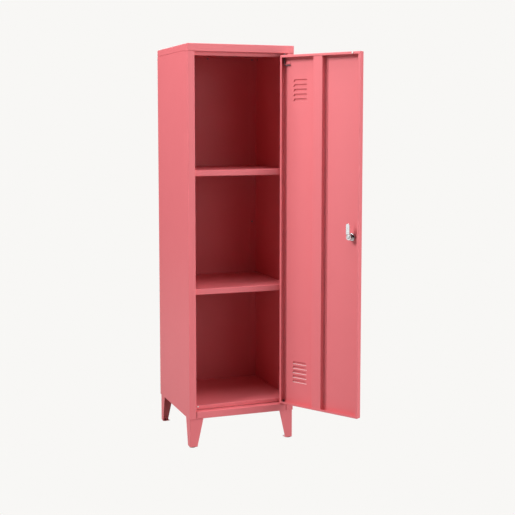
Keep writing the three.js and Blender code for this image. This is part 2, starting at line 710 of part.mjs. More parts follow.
place(door, "upper_hinge_pin", upperPin(), zinc);
place(door, "hinge_pin_bracket", pinBracket(), paint);
place(door, "hinge_pin_spring", pinSpring(), zinc);
place(door, "lower_hinge_pin", lowerPin(), darkSteel);
place(body, "lower_hinge_washer", hingeWasher(), nylon);

// ---------------------------------------------------------------- cam lock and key

// Lock pieces are drawn along +Z, which is into the cabinet, with z = 0 at the door's front face.
const intoDoor = (geometry) => alongMinusY(geometry).translate(LOCK_X, 0, DOOR_MIDDLE);
const HUB_BASE = BARREL_LENGTH + GAP;

function lockBarrel() {
  const outer = turned([
    [0, -LOCK_FLANGE - GAP],
    [LOCK_FLANGE_RADIUS - 0.8, -LOCK_FLANGE - GAP],
    [LOCK_FLANGE_RADIUS, -LOCK_FLANGE + 0.4],
    [LOCK_FLANGE_RADIUS, -GAP],
    [BARREL_RADIUS, -GAP],
    [BARREL_RADIUS, BARREL_LENGTH],
    [0, BARREL_LENGTH],
  ]);
  const far = BARREL_RADIUS + 2;
  const flat = BARREL_FLATS / 2;
  const bore = rod(PLUG_RADIUS + RUN_CLEARANCE, -LOCK_FLANGE - 2, BARREL_LENGTH + 1);
  return cut(
    outer,
    bore,
    block(-far, far, flat, far, 0, BARREL_LENGTH + 1),
    block(-far, far, -far, -flat, 0, BARREL_LENGTH + 1),
  );
}

function lockNut() {
  const radius = NUT_ACROSS / 2 / Math.cos(Math.PI / 6);
  const hexagon = [0, 1, 2, 3, 4, 5].map((i) => {
    const angle = (i * Math.PI) / 3;
    return [radius * Math.cos(angle), radius * Math.sin(angle)];
  });
  const base = SHEET + GAP;
  const bore = rod(BARREL_RADIUS + GAP, base - 1, base + NUT_HEIGHT + 1);
  return cut(prism(hexagon, base, base + NUT_HEIGHT), bore);
}

const KEYWAY_END = 16;
const SCREW_HOLE_START = 18;

function lockPlug() {
  const front = -LOCK_FLANGE - GAP;
  const end = HUB_BASE + CAM_SHEET - 0.2;
  const half = PLUG_SQUARE / 2;
  const slotWide = KEY_THICKNESS / 2 + RUN_CLEARANCE;
  const slotHigh = KEY_BLADE / 2 + RUN_CLEARANCE;
  return cut(
    join(rod(PLUG_RADIUS, front, BARREL_LENGTH), block(-half, half, -half, half, BARREL_LENGTH - 1, end)),
    block(-slotWide, slotWide, -slotHigh, slotHigh, front - 1, KEYWAY_END),
    rod(SCREW_SHANK + GAP, SCREW_HOLE_START, end + 1, SMALL_ROUND),
  );
}

// Cam: a hub on the plug's square, cranked inward to a long round-ended tongue.
// It points up when the lock is open.
function lockCam() {
  const half = CAM_WIDTH / 2;
  const hubTop = HUB_BASE + CAM_SHEET;
  const tongueBase = HUB_BASE + CAM_CRANK;
  const riser = CAM_HUB_RADIUS + 0.5;
  const tongue = new THREE.Shape();
  tongue.moveTo(-half, riser);
  tongue.lineTo(half, riser);
  tongue.lineTo(half, CAM_LENGTH - half);
  tongue.absarc(0, CAM_LENGTH - half, half, 0, Math.PI);
  const square = PLUG_SQUARE / 2 + GAP;
  const whole = join(
    rod(CAM_HUB_RADIUS, HUB_BASE, hubTop),
    block(-half, half, 0, riser + CAM_SHEET, HUB_BASE, hubTop),
    block(-half, half, riser, riser + CAM_SHEET, HUB_BASE, tongueBase + CAM_SHEET),
    prism(tongue, tongueBase, tongueBase + CAM_SHEET),
  );
  return cut(whole, block(-square, square, -square, square, HUB_BASE - 1, hubTop + 1));
}

function camScrew() {
  const seat = HUB_BASE + CAM_SHEET + GAP;
  const head = 5.4;
  return turned([
    [0, SCREW_HOLE_START + 0.5],
    [SCREW_SHANK, SCREW_HOLE_START + 0.5],
    [SCREW_SHANK, seat],
    [head, seat],
    [head, seat + 1],
    [head * 0.65, seat + 2.2],
    [0, seat + 2.2],
  ]);
}

// Flat key in the plug: blade, shoulder and round bow with a ring hole.
function key() {
  const shoulder = -LOCK_FLANGE - 2 * GAP;
  const bowCentre = shoulder - 4 - KEY_BOW_RADIUS;
  const half = KEY_THICKNESS / 2;
  const edge = KEY_BLADE / 2;
  const blade = block(-half, half, -edge, edge, shoulder - 8, shoulder + KEY_BLADE_LENGTH);
  const neck = block(-half, half, -edge - 1.5, edge + 1.5, shoulder - 6, shoulder);
  const bow = alongX(rod(KEY_BOW_RADIUS, -half, half)).translate(0, 0, bowCentre);
  const ringHole = alongX(rod(2.5, -half - 1, half + 1)).translate(0, 0, bowCentre - KEY_BOW_RADIUS / 2);
  return cut(join(blade, neck, bow), ringHole);
}

place(door, "lock_barrel", intoDoor(lockBarrel()), chrome);
place(door, "lock_nut", intoDoor(lockNut()), zinc);
place(door, "lock_plug", intoDoor(lockPlug()), chrome);
place(door, "lock_cam", intoDoor(lockCam()), zinc);
place(door, "cam_screw", intoDoor(camScrew()), zinc);
place(door, "lock_key", intoDoor(key()), zinc);

// ---------------------------------------------------------------- door bumpers

// A stuck-on dome along +Z whose base is the plane z = 0.
function bumper() {
  return turned([
    [0, 0],
    [BUMPER_RADIUS, 0],
    [BUMPER_RADIUS, BUMPER_HEIGHT * 0.4],
    [BUMPER_RADIUS * 0.7, BUMPER_HEIGHT * 0.85],
    [BUMPER_RADIUS * 0.35, BUMPER_HEIGHT],
    [0, BUMPER_HEIGHT],
  ]);
}

const doorBumper = alongMinusY(bumper());
doorBumper.translate(DOOR_WIDTH - BUMPER_INSET, -DOOR_DEPTH - GAP, DOOR_HEAD - DOOR_LIP / 2);
const floorBumper = alongMinusY(bumper());
const floorBumperZ = FLOOR_TOP - BUMPER_RADIUS - SHEET;
floorBumper.translate(-OPENING_HALF + FLOOR_BUMPER_INSET, STOP_Y - SHEET - GAP, floorBumperZ);
place(door, "door_bumper", doorBumper, silicone);
place(body, "floor_bumper", floorBumper, silicone);

export default cabinet;
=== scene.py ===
"""A tall one-door steel locker cabinet on four tapered legs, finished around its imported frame."""
import json
import math

import bmesh
import bpy
from mathutils import Matrix, Vector


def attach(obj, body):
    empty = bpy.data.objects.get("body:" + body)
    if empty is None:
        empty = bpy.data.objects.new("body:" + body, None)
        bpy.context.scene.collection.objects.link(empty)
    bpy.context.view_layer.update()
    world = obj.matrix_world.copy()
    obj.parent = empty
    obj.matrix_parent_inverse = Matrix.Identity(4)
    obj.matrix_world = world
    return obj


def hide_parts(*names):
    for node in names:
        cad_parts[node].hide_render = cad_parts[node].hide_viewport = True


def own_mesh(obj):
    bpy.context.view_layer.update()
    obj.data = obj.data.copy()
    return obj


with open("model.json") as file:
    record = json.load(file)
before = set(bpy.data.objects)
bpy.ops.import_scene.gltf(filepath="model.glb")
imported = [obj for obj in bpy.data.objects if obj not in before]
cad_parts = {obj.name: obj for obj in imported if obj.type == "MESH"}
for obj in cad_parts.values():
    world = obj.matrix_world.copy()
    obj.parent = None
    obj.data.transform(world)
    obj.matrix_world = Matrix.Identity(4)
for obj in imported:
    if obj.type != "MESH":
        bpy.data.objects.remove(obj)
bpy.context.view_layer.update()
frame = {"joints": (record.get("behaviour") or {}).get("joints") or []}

bl_info = {
    "name": "Locker cabinet",
    "version": (1, 0, 0),
    "blender": (4, 5, 0),
    "location": "View3D > Sidebar > Locker",
    "description": "Makes the pieces of a steel locker cabinet around its packed frame",
    "category": "Object",
}

# ------------------------------------------------------------------ fixed places, in metres

GAP = 0.0003  # between pieces that touch
HALF_WIDTH = 0.190
HALF_DEPTH = 0.190
HEIGHT = 1.370
BODY_BASE = 0.100
WALL_IN = 0.1892  # inner face of a side wall
OPENING_HALF = 0.165
STOP_Y = -0.165  # plane where post returns, stops and shelves end
REAR_OUT = 0.1889
REAR_IN = 0.1881
SKIRT_FRONT = 1.344  # lower edge of the cap over the door
SKIRT_SIDE = 1.348  # and along the sides
SKIRT_RETURN = 0.023  # the front rim turns in under the cap
SKIRT_CORNER = 0.032  # the deep rim runs this far round each front corner
SEAM = 0.002  # open joint line under the cap and at the front rail's ends
BACK_FLANGE = 0.027
LEDGE = 0.125  # top of the front rail
FLOOR_TOP = 0.140
CEILING_TOP = 1.3508
# Flanges go down at the sides and back of each lining, and a lip at its front.
CEILING_SIZES = {"flange": 0.0128, "lip": 0.0188}
FLOOR_SIZES = {"flange": 0.013, "lip": 0.013}
GLIDE_HEIGHT = 0.0012
SHELF_TOPS = {"lower": 0.5445, "upper": 0.949}

DOOR_WIDTH = 0.326
DOOR_BASE = 0.127
DOOR_HEAD = 1.3375
DOOR_DEPTH = 0.020
DOOR_OPEN = math.radians(121)
PIVOT_IN = 0.007
PIVOT_BACK = 0.0045
DOOR_LIP = 0.008  # turned in round the door's inner side
PIN_RADIUS = 0.002
PIN_HOLE = PIN_RADIUS + 0.0003
PAST = 0.010  # a cutting block runs this far past the body
LOCK_X = DOOR_WIDTH - 0.038
DOOR_MIDDLE = (DOOR_BASE + DOOR_HEAD) / 2

HINGE = next(joint for joint in frame["joints"] if joint["name"] == "door_hinge")
PIVOT = Vector((HINGE["pos_m"][0], HINGE["pos_m"][1], 0))
# Inside the door's own frame x runs from the hinge edge and y = 0 is its front face.
DOOR_PLACE = (
    Matrix.Translation(PIVOT)
    @ Matrix.Rotation(math.pi + DOOR_OPEN, 4, "Z")
    @ Matrix.Translation((-PIVOT_IN, PIVOT_BACK, 0))
)
# The lock is drawn along +Z, which runs into the cabinet, from the door's front face.
LOCK_PLACE = (
    DOOR_PLACE
    @ Matrix.Translation((LOCK_X, 0, DOOR_MIDDLE))
    @ Matrix.Rotation(math.pi / 2, 4, "X")
)

SIDES = (("left", -1), ("right", 1))
CORNERS = (("front_left", -1, 1), ("front_right", 1, 1), ("rear_left", -1, -1), ("rear_right", 1, -1))


def linear(code):
    """Linear red, green and blue of an sRGB hex colour."""
    shares = [int(code[i : i + 2], 16) / 255 for i in (0, 2, 4)]
    return tuple(c / 12.92 if c <= 0.04045 else ((c + 0.055) / 1.055) ** 2.4 for c in shares)


# ------------------------------------------------------------------ settings


class LockerSizes(bpy.types.PropertyGroup):
    sheet: bpy.props.FloatProperty(
        name="Sheet", description="Thickness of the body's steel sheet", default=0.0008, unit="LENGTH"
    )
    bend: bpy.props.FloatProperty(
        name="Bend", description="Outer radius of a fold in the sheet", default=0.0018, unit="LENGTH"
    )
    leg_sheet: bpy.props.FloatProperty(
        name="Leg sheet", description="Thickness of the legs' steel", default=0.0012, unit="LENGTH"
    )
    louvre_hood: bpy.props.FloatProperty(
        name="Louvre hood", description="How far a louvre is pressed out", default=0.0036, unit="LENGTH"
    )
    peel: bpy.props.FloatProperty(
        name="Orange peel", description="Size of the waves in the powder coat", default=0.004, unit="LENGTH"
    )


class LockerColours(bpy.types.PropertyGroup):
    paint: bpy.props.FloatVectorProperty(
        name="Powder coat", description="Colour of the powder coat", subtype="COLOR", default=linear("e2767c")
    )
    paint_deep: bpy.props.FloatVectorProperty(
        name="Powder coat, thick",
        description="Colour of the powder coat where it lies thicker",
        subtype="COLOR",
        default=linear("df7379"),
    )
    floor: bpy.props.FloatVectorProperty(
        name="Floor", description="Colour of the studio floor", subtype="COLOR", default=linear("9a9997")
    )


def sizes():
    return bpy.context.scene.locker_sizes


def colours():
    return bpy.context.scene.locker_colours


# ------------------------------------------------------------------ workshop


def rest():
    """Back to object mode with nothing selected."""
    if bpy.context.mode != "OBJECT":
        bpy.ops.object.mode_set(mode="OBJECT")
    bpy.ops.object.select_all(action="DESELECT")


def take(*pieces):
    rest()
    for piece in pieces:
        piece.select_set(True)
    bpy.context.view_layer.objects.active = pieces[0]


def settle(piece, matrix=None):
    """Moves a piece by a matrix and puts its place into its mesh."""
    if matrix is not None:
        piece.matrix_world = matrix @ piece.matrix_world
    take(piece)
    bpy.ops.object.transform_apply(location=True, rotation=True, scale=True)
    return piece


def added(name, span=(1, 1, 1)):
    """Names the newest primitive, brings it to its span and puts its place into its mesh."""
    piece = bpy.context.object
    piece.name = name
    piece.data.name = name
    piece.scale = span
    return settle(piece)


def block(name, low, high):
    low, high = Vector(low), Vector(high)
    rest()
    bpy.ops.mesh.primitive_cube_add(size=1, location=(low + high) / 2)
    return added(name, high - low)


def disc(name, radius, low, high, sides=32):
    rest()
    middle = (0, 0, (low + high) / 2)
    bpy.ops.mesh.primitive_cylinder_add(vertices=sides, radius=radius, depth=high - low, location=middle)
    return added(name)


def flat(name, low, high, height):
    rest()
    middle = ((low[0] + high[0]) / 2, (low[1] + high[1]) / 2, height)
    bpy.ops.mesh.primitive_plane_add(size=1, location=middle)
    return added(name, (high[0] - low[0], high[1] - low[1], 1))


def edit(piece):
    take(piece)
    bpy.ops.object.mode_set(mode="EDIT")
    bpy.ops.mesh.select_all(action="DESELECT")


def pick(piece, kind, test):
    """Selects the corners, edges or faces whose middle passes a test."""
    bpy.ops.mesh.select_mode(type=kind)
    bpy.ops.mesh.select_all(action="DESELECT")
    mesh = bmesh.from_edit_mesh(piece.data)
    parts = {"VERT": mesh.verts, "EDGE": mesh.edges, "FACE": mesh.faces}[kind]
    for part in parts:
        points = [part.co] if kind == "VERT" else [corner.co for corner in part.verts]
        if test(sum(points, Vector()) / len(points), part):
            part.select_set(True)
    bmesh.update_edit_mesh(piece.data)


def push(shift):
    bpy.ops.mesh.extrude_region_move(TRANSFORM_OT_translate={"value": shift})


def near(a, b, slack=1e-5):
    return abs(a - b) < slack


def along(edge, axis):
    """True for an edge that runs along an axis."""
    run = edge.verts[0].co - edge.verts[1].co
    return abs(run[axis]) > 0.999 * run.length


def modify(piece, kind, **settings):
    modifier = piece.modifiers.new(kind.lower(), kind)
    for key, value in settings.items():
        setattr(modifier, key, value)
    take(piece)
    bpy.ops.object.modifier_apply(modifier=modifier.name)
    return piece


def thicken(piece, sheet):
    """Gives an open sheet its thickness, on the inner side of its faces."""
    return modify(
        piece, "SOLIDIFY", thickness=sheet, offset=-1, use_even_offset=True, use_quality_normals=True
    )


def soften(piece, width, segments=2, angle=35):
    """Breaks the sharp edges of a solid piece."""
    return modify(
        piece, "BEVEL", width=width, segments=segments, limit_method="ANGLE", angle_limit=math.radians(angle)
    )


def gather(tools):
    take(*tools)
    if len(tools) > 1:
        bpy.ops.object.join()
    return tools[0]


def carve(piece, *tools, how="DIFFERENCE"):
    """Cuts tools out of a piece, or welds them to it."""
    tool = gather(tools)
    modify(piece, "BOOLEAN", operation=how, object=tool, solver="EXACT")
    bpy.data.objects.remove(tool)
    return piece


def weld(piece, *tools):
    return carve(piece, *tools, how="UNION")


def face_out(piece):
    edit(piece)
    bpy.ops.mesh.select_all(action="SELECT")
    bpy.ops.mesh.remove_doubles(threshold=1e-6)
    bpy.ops.mesh.normals_make_consistent(inside=False)
    bpy.ops.object.mode_set(mode="OBJECT")
    return piece


def copied(piece, name, matrix=None):
    """A copy with its own mesh, moved or mirrored by a matrix."""
    take(piece)
    bpy.ops.object.duplicate(linked=False)
    copy = bpy.context.object
    copy.name = name
    copy.data.name = name
    if matrix is not None:
        copy.data.transform(matrix)
        if matrix.determinant() < 0:
            face_out(copy)
    return copy


def mirrored(sign_x, sign_y=1):
    return Matrix.Diagonal((sign_x, sign_y, 1, 1))


def turned(name, profile, sides=32):
    """A round piece on the Z axis: a disc drawn up, in and out along (radius, height) pairs."""
    radius, height = profile[0]
    rest()
    bpy.ops.mesh.primitive_circle_add(
        vertices=sides, radius=radius, fill_type="NGON", location=(0, 0, height)
    )
    piece = added(name)
    edit(piece)
    bpy.ops.mesh.select_all(action="SELECT")
    for next_radius, next_height in profile[1:]:
        push((0, 0, next_height - height))
        share = next_radius / radius
        bpy.ops.transform.resize(value=(share, share, 1), center_override=(0, 0, next_height))
        radius, height = next_radius, next_height
    bpy.ops.mesh.select_all(action="SELECT")
    bpy.ops.mesh.normals_make_consistent(inside=False)
    bpy.ops.object.mode_set(mode="OBJECT")
    return piece


def folded(name, corners, low, high, sheet=None, bend=None):
    """A sheet folded along upright lines. The corners run along one face and the sheet lies left of them."""
    sheet = sheet or sizes().sheet
    bend = bend or sizes().bend
    corners = [Vector(corner) for corner in corners]
    first, second = corners[:2]
    run = second - first
    middle = (first + second) / 2
    rest()
    bpy.ops.mesh.primitive_plane_add(
        size=1,
        location=(middle.x, middle.y, (low + high) / 2),
        rotation=(math.pi / 2, 0, math.atan2(run.y, run.x)),
    )
    piece = added(name, (run.length, high - low, 1))
    edit(piece)
    for here, there in zip(corners[1:], corners[2:]):
        pick(piece, "EDGE", lambda m, e: along(e, 2) and near(m.x, here.x) and near(m.y, here.y))
        push((there.x - here.x, there.y - here.y, 0))
    for before, here, after in zip(corners, corners[1:], corners[2:]):
        turn = (here - before).cross(after - here)
        radius = bend if turn > 0 else bend - sheet
        pick(piece, "EDGE", lambda m, e: along(e, 2) and near(m.x, here.x) and near(m.y, here.y))
        bpy.ops.mesh.bevel(offset=radius, segments=4, affect="EDGES")
    bpy.ops.object.mode_set(mode="OBJECT")
    return thicken(piece, sheet)


def finish(piece, nodes, body, material, angle=32):
    """Shades a piece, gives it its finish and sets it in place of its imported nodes."""
    face_out(piece)
    take(piece)
    bpy.ops.object.shade_smooth_by_angle(angle=math.radians(angle))
    modify(piece, "WEIGHTED_NORMAL", keep_sharp=True)
    piece.data.materials.clear()
    piece.data.materials.append(material)
    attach(piece, body)
    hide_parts(*nodes)
    return piece


# ------------------------------------------------------------------ finishes


def add_node(tree, kind, settings, links=()):
    """Adds a node, sets its values and inputs, and links sockets into it."""
    node = tree.nodes.new(kind)
    for key, value in settings.items():
        if key in node.inputs:
            node.inputs[key].default_value = value
        else:
            setattr(node, key, value)
    for socket, source in links:
        tree.links.new(source, node.inputs[socket])
    return node


def finish_base(name, settings):
    """A material with a shader, and the object's coordinates to draw patterns on."""
    material = bpy.data.materials.new(name)
    material.use_nodes = True
    tree = material.node_tree
    tree.nodes.clear()
    shader = add_node(tree, "ShaderNodeBsdfPrincipled", settings)
    add_node(tree, "ShaderNodeOutputMaterial", {}, [("Surface", shader.outputs["BSDF"])])
    place = add_node(tree, "ShaderNodeTexCoord", {})
    return material, tree, shader, place.outputs["Object"]


def powder_coat():
    """Polyester powder sprayed on dry and baked. The eye gets a satin skin that flows into soft orange
    peel, a touch deeper where it lies thicker, and broad soft reflections."""
    material, tree, shader, place = finish_base(
        "powder-coated steel, coral satin", {"IOR": 1.43, "Metallic": 0.0}
    )
    thickness = add_node(
        tree, "ShaderNodeTexNoise", {"Scale": 1 / 0.09, "Detail": 3.0, "Roughness": 0.5}, [("Vector", place)]
    )
    tone = add_node(
        tree,
        "ShaderNodeMix",
        {"data_type": "RGBA"},
        [("Factor", thickness.outputs["Fac"])],
    )
    tone.inputs[6].default_value = (*colours().paint, 1)
    tone.inputs[7].default_value = (*colours().paint_deep, 1)
    # Real orange peel is one to two millimetres across. It is drawn coarser so that it still shows.
    peel = add_node(
        tree,
        "ShaderNodeTexNoise",
        {"Scale": 1 / sizes().peel, "Detail": 2.0, "Roughness": 0.45},
        [("Vector", place)],
    )
    gloss = add_node(
        tree,
        "ShaderNodeMapRange",
        {"To Min": 0.34, "To Max": 0.46},
        [("Value", peel.outputs["Fac"])],
    )
    bump = add_node(
        tree,
        "ShaderNodeBump",
        {"Strength": 0.12, "Distance": 0.0004},
        [("Height", peel.outputs["Fac"])],
    )
    for socket, source in (
        ("Base Color", tone.outputs[2]),
        ("Roughness", gloss.outputs["Result"]),
        ("Normal", bump.outputs["Normal"]),
    ):
        tree.links.new(source, shader.inputs[socket])
    return material


def plated(name, light, dark, grain, low, high, bump_strength=0.05):
    """A plated metal: two close tones in fine clouds, with the gloss broken by the same grain."""
    material, tree, shader, place = finish_base(name, {"Metallic": 1.0})
    clouds = add_node(
        tree, "ShaderNodeTexNoise", {"Scale": 1 / grain, "Detail": 4.0, "Roughness": 0.6}, [("Vector", place)]
    )
    tone = add_node(tree, "ShaderNodeMix", {"data_type": "RGBA"}, [("Factor", clouds.outputs["Fac"])])
    tone.inputs[6].default_value = (*linear(light), 1)
    tone.inputs[7].default_value = (*linear(dark), 1)
    gloss = add_node(
        tree, "ShaderNodeMapRange", {"To Min": low, "To Max": high}, [("Value", clouds.outputs["Fac"])]
    )
    bump = add_node(
        tree,
        "ShaderNodeBump",
        {"Strength": bump_strength, "Distance": 0.0001},
        [("Height", clouds.outputs["Fac"])],
    )
    for socket, source in (
        ("Base Color", tone.outputs[2]),
        ("Roughness", gloss.outputs["Result"]),
        ("Normal", bump.outputs["Normal"]),
    ):
        tree.links.new(source, shader.inputs[socket])
    return material


def zinc_plate():
    """Steel barrel-plated in zinc and clear passivated. The eye gets a cool bright metal, faintly clouded."""
    return plated("zinc-plated steel, clear passivated", "e2e4e5", "c6c9cb", 0.0015, 0.18, 0.3)


def grey_zinc():
    """Steel plated in zinc and dipped in a dark passivate. The eye gets a grey metal with little shine."""
    return plated("zinc-plated steel, dark passivated", "9a9c9e", "7c7e81", 0.0015, 0.3, 0.45)


def chrome_plate():
    """Die-cast zinc, polished and chrome plated. The eye gets a hard mirror that picks up the paint."""
    return plated("chrome-plated die casting, polished", "e9ebec", "d5d8da", 0.003, 0.06, 0.12, 0.02)


def key_nickel():
    """Steel blank, stamped and nickel plated. The eye gets a warm, slightly brushed metal."""
    return plated("nickel-plated steel, stamped", "dad7cf", "bdb9b0", 0.001, 0.18, 0.3)


def dark_steel():
    """Turned steel blackened in oil. The eye gets a dull dark metal."""
    return plated("oil-blackened steel, turned", "6f6769", "4a4446", 0.001, 0.36, 0.5)


def moulded(name, light, dark, roughness, grain, transmission=0.0):
    """A moulded plastic or rubber: two close tones and a fine grain from the tool."""
    material, tree, shader, place = finish_base(
        name, {"IOR": 1.46, "Roughness": roughness, "Transmission Weight": transmission}
    )
    clouds = add_node(
        tree, "ShaderNodeTexNoise", {"Scale": 1 / grain, "Detail": 3.0}, [("Vector", place)]
    )
    tone = add_node(tree, "ShaderNodeMix", {"data_type": "RGBA"}, [("Factor", clouds.outputs["Fac"])])
    tone.inputs[6].default_value = (*linear(light), 1)
    tone.inputs[7].default_value = (*linear(dark), 1)
    bump = add_node(
        tree, "ShaderNodeBump", {"Strength": 0.1, "Distance": 0.0001}, [("Height", clouds.outputs["Fac"])]
    )
    tree.links.new(tone.outputs[2], shader.inputs["Base Color"])
    tree.links.new(bump.outputs["Normal"], shader.inputs["Normal"])
    return material


def black_nylon():
    """Nylon moulded in a spark-eroded tool. The eye gets a deep grey with a fine dull grain."""
    return moulded("nylon, injection moulded black", "2b2b2d", "1f1f21", 0.55, 0.0012)


def white_silicone():
    """Soft silicone cast in smooth cups. The eye gets a milky dome with one bright spot."""
    return moulded("silicone, cast clear", "f4f2ef", "e9e7e3", 0.22, 0.002, 0.15)


MAKERS = {
    "paint": powder_coat,
    "zinc": zinc_plate,
    "grey_zinc": grey_zinc,
    "chrome": chrome_plate,
    "brushed": key_nickel,
    "dark_steel": dark_steel,
    "nylon": black_nylon,
    "silicone": white_silicone,
}
made_finishes = {}


def finish_of(slot):
    if slot not in made_finishes:
        made_finishes[slot] = MAKERS[slot]()
    return made_finishes[slot]


# ------------------------------------------------------------------ body

ALONG_X = Matrix.Rotation(math.pi / 2, 4, "Y")
ALONG_MINUS_X = Matrix.Rotation(-math.pi / 2, 4, "Y")
ALONG_Y = Matrix.Rotation(-math.pi / 2, 4, "X")
ALONG_MINUS_Y = Matrix.Rotation(math.pi / 2, 4, "X")
# Turns a folded section's two axes into y and z, and its length into x.
SECTION_ALONG_X = Matrix(((0, 0, 1, 0), (1, 0, 0, 0), (0, 1, 0, 0), (0, 0, 0, 1)))
# The same, with the section's x turned towards the front.
SECTION_FACING_FRONT = Matrix(((0, 0, 1, 0), (-1, 0, 0, 0), (0, 1, 0, 0), (0, 0, 0, 1)))
# Turns a folded section's two axes into x and z, and its length into y.
SECTION_ALONG_Y = Matrix(((1, 0, 0, 0), (0, 0, 1, 0), (0, 1, 0, 0), (0, 0, 0, 1)))

BACK_SCREW_X = 0.1738
BACK_SCREW_ROWS = {"top": 1.344, "middle": 0.73675, "bottom": 0.1330}
SCREW_HOLE = 0.0019


class LOCKER_OT_side_panels(bpy.types.Operator):
    """Both side panels: front post, wall and back flange folded from one sheet, with a tab over each leg."""

    bl_idname = "locker.side_panels"
    bl_label = "Side panels"

    def execute(self, context):
        sheet = sizes().sheet
        panel = folded(
            "right_side_sheet",
            [
                (OPENING_HALF, STOP_Y),
                (OPENING_HALF, -HALF_DEPTH),
                (HALF_WIDTH, -HALF_DEPTH),
                (HALF_WIDTH, REAR_OUT),
                (HALF_WIDTH - BACK_FLANGE, REAR_OUT),
            ],
            BODY_BASE,
            SKIRT_SIDE - SEAM,
        )
        corner = block(
            "corner",
            (OPENING_HALF - PAST, -HALF_DEPTH - PAST, SKIRT_FRONT - GAP),
            (HALF_WIDTH + PAST, -HALF_DEPTH + SKIRT_CORNER, HEIGHT),
        )
        carve(panel, corner)
        low = BODY_BASE + sheet + GAP
        high = low + sizes().leg_sheet
        reach = 0.150
        # Each tab starts in the middle of a wall's sheet, so that the two weld into one.
        wall, rear = HALF_WIDTH - sheet / 2, REAR_IN + sheet / 2
        tabs = [
            block("tab", (OPENING_HALF + sheet / 2, -wall, low), (wall, -reach, high)),
            block("tab", (reach, reach, low), (wall, rear, high)),
        ]
        inner = block("tab", (reach, GAP + sheet - HALF_DEPTH, low), (OPENING_HALF + sheet, -reach, high))
        weld(panel, *tabs)
        weld(panel, inner)
        left = copied(panel, "left_side_sheet", mirrored(-1))
        for piece, side in ((panel, "right"), (left, "left")):
            finish(piece, [f"{side}_side_panel"], "cabinet", finish_of("paint"))
        return {"FINISHED"}


class LOCKER_OT_back_panel(bpy.types.Operator):
    """The flat back behind the side panels' flanges, with its edges broken and its screw holes cut."""

    bl_idname = "locker.back_panel"
    bl_label = "Back panel"

    def execute(self, context):
        panel = block(
            "back_sheet",
            (-HALF_WIDTH, HALF_DEPTH - sizes().sheet, BODY_BASE),
            (HALF_WIDTH, HALF_DEPTH, SKIRT_SIDE - SEAM),
        )
        soften(panel, 0.00015, 1)
        holes = []
        spots = [(side * BACK_SCREW_X, z) for side in (-1, 1) for z in BACK_SCREW_ROWS.values()]
        for x, z in spots + [(0, BACK_SCREW_ROWS["top"])]:
            hole = disc("screw hole", SCREW_HOLE, HALF_DEPTH - 0.003, HALF_DEPTH + 0.001, 16)
            holes.append(settle(hole, Matrix.Translation((x, 0, z)) @ ALONG_Y))
        carve(panel, *holes)
        finish(panel, ["back_panel"], "cabinet", finish_of("paint"))
        return {"FINISHED"}


class LOCKER_OT_top_cap(bpy.types.Operator):
    """The cap: a tray turned upside down, with a deeper rim over the door that returns under it."""

    bl_idname = "locker.top_cap"
    bl_label = "Top cap"

    def execute(self, context):
        sheet, bend = sizes().sheet, sizes().bend
        cap = block("cap_tray", (-HALF_WIDTH, -HALF_DEPTH, SKIRT_FRONT), (HALF_WIDTH, HALF_DEPTH, HEIGHT))
        edit(cap)
        bpy.ops.mesh.select_all(action="SELECT")
        return_edge = -HALF_DEPTH + SKIRT_RETURN
        bpy.ops.mesh.bisect(plane_co=(0, return_edge, 0), plane_no=(0, 1, 0))
        pick(cap, "FACE", lambda m, f: near(m.z, SKIRT_FRONT) and m.y > return_edge)
        bpy.ops.mesh.delete(type="FACE")
        pick(
            cap,
            "EDGE",
            lambda m, e: not e.is_boundary and not (near(m.y, return_edge) and not along(e, 0))
            and not near(e.calc_face_angle(0), 0, 0.1),
        )
        bpy.ops.mesh.bevel(offset=bend, segments=4, affect="EDGES")
        bpy.ops.object.mode_set(mode="OBJECT")
        thicken(cap, sheet)
        step = block(
            "step",
            (-HALF_WIDTH - PAST, -HALF_DEPTH + SKIRT_CORNER, SKIRT_FRONT - PAST),
            (HALF_WIDTH + PAST, HALF_DEPTH + PAST, SKIRT_SIDE),
        )
        hole = disc("pin hole", PIN_HOLE, SKIRT_FRONT - 0.002, SKIRT_FRONT + 0.002, 24)
        settle(hole, Matrix.Translation(PIVOT))
        carve(cap, step)
        carve(cap, hole)
        finish(cap, ["top_cap"], "cabinet", finish_of("paint"))
        return {"FINISHED"}


def tray(name, edge, front, back, top, flange):
    """A flat sheet with flanges folded down at both sides and the back."""
    piece = flat(name, (-edge, front), (edge, back), top)
    edit(piece)
    pick(piece, "EDGE", lambda m, e: m.y > front + 1e-5)
    push((0, 0, -flange))
    bpy.ops.object.mode_set(mode="OBJECT")
    return piece


def bend_folds(piece, radius):
    """Rounds every fold of a sheet that has no thickness yet."""
    edit(piece)
    pick(piece, "EDGE", lambda m, e: not e.is_boundary and e.calc_face_angle(0) > 0.5)
    bpy.ops.mesh.bevel(offset=radius, segments=4, affect="EDGES")
    bpy.ops.object.mode_set(mode="OBJECT")
    return piece


def lining(name, top, flange, lip):
    """A lining with a door stop folded down between the posts."""
    front = STOP_Y + GAP
    piece = tray(name, WALL_IN - GAP, front, REAR_IN - GAP, top, flange)
    half = OPENING_HALF - GAP
    edit(piece)
    for x in (-half, half):
        bpy.ops.mesh.select_all(action="SELECT")
        bpy.ops.mesh.bisect(plane_co=(x, 0, 0), plane_no=(1, 0, 0))
    pick(piece, "EDGE", lambda m, e: near(m.y, front) and near(m.x, 0) and e.is_boundary)
    push((0, STOP_Y - sizes().sheet - front, 0))
    push((0, 0, -lip))
    bpy.ops.object.mode_set(mode="OBJECT")
    bend_folds(piece, sizes().bend)
    return thicken(piece, sizes().sheet)


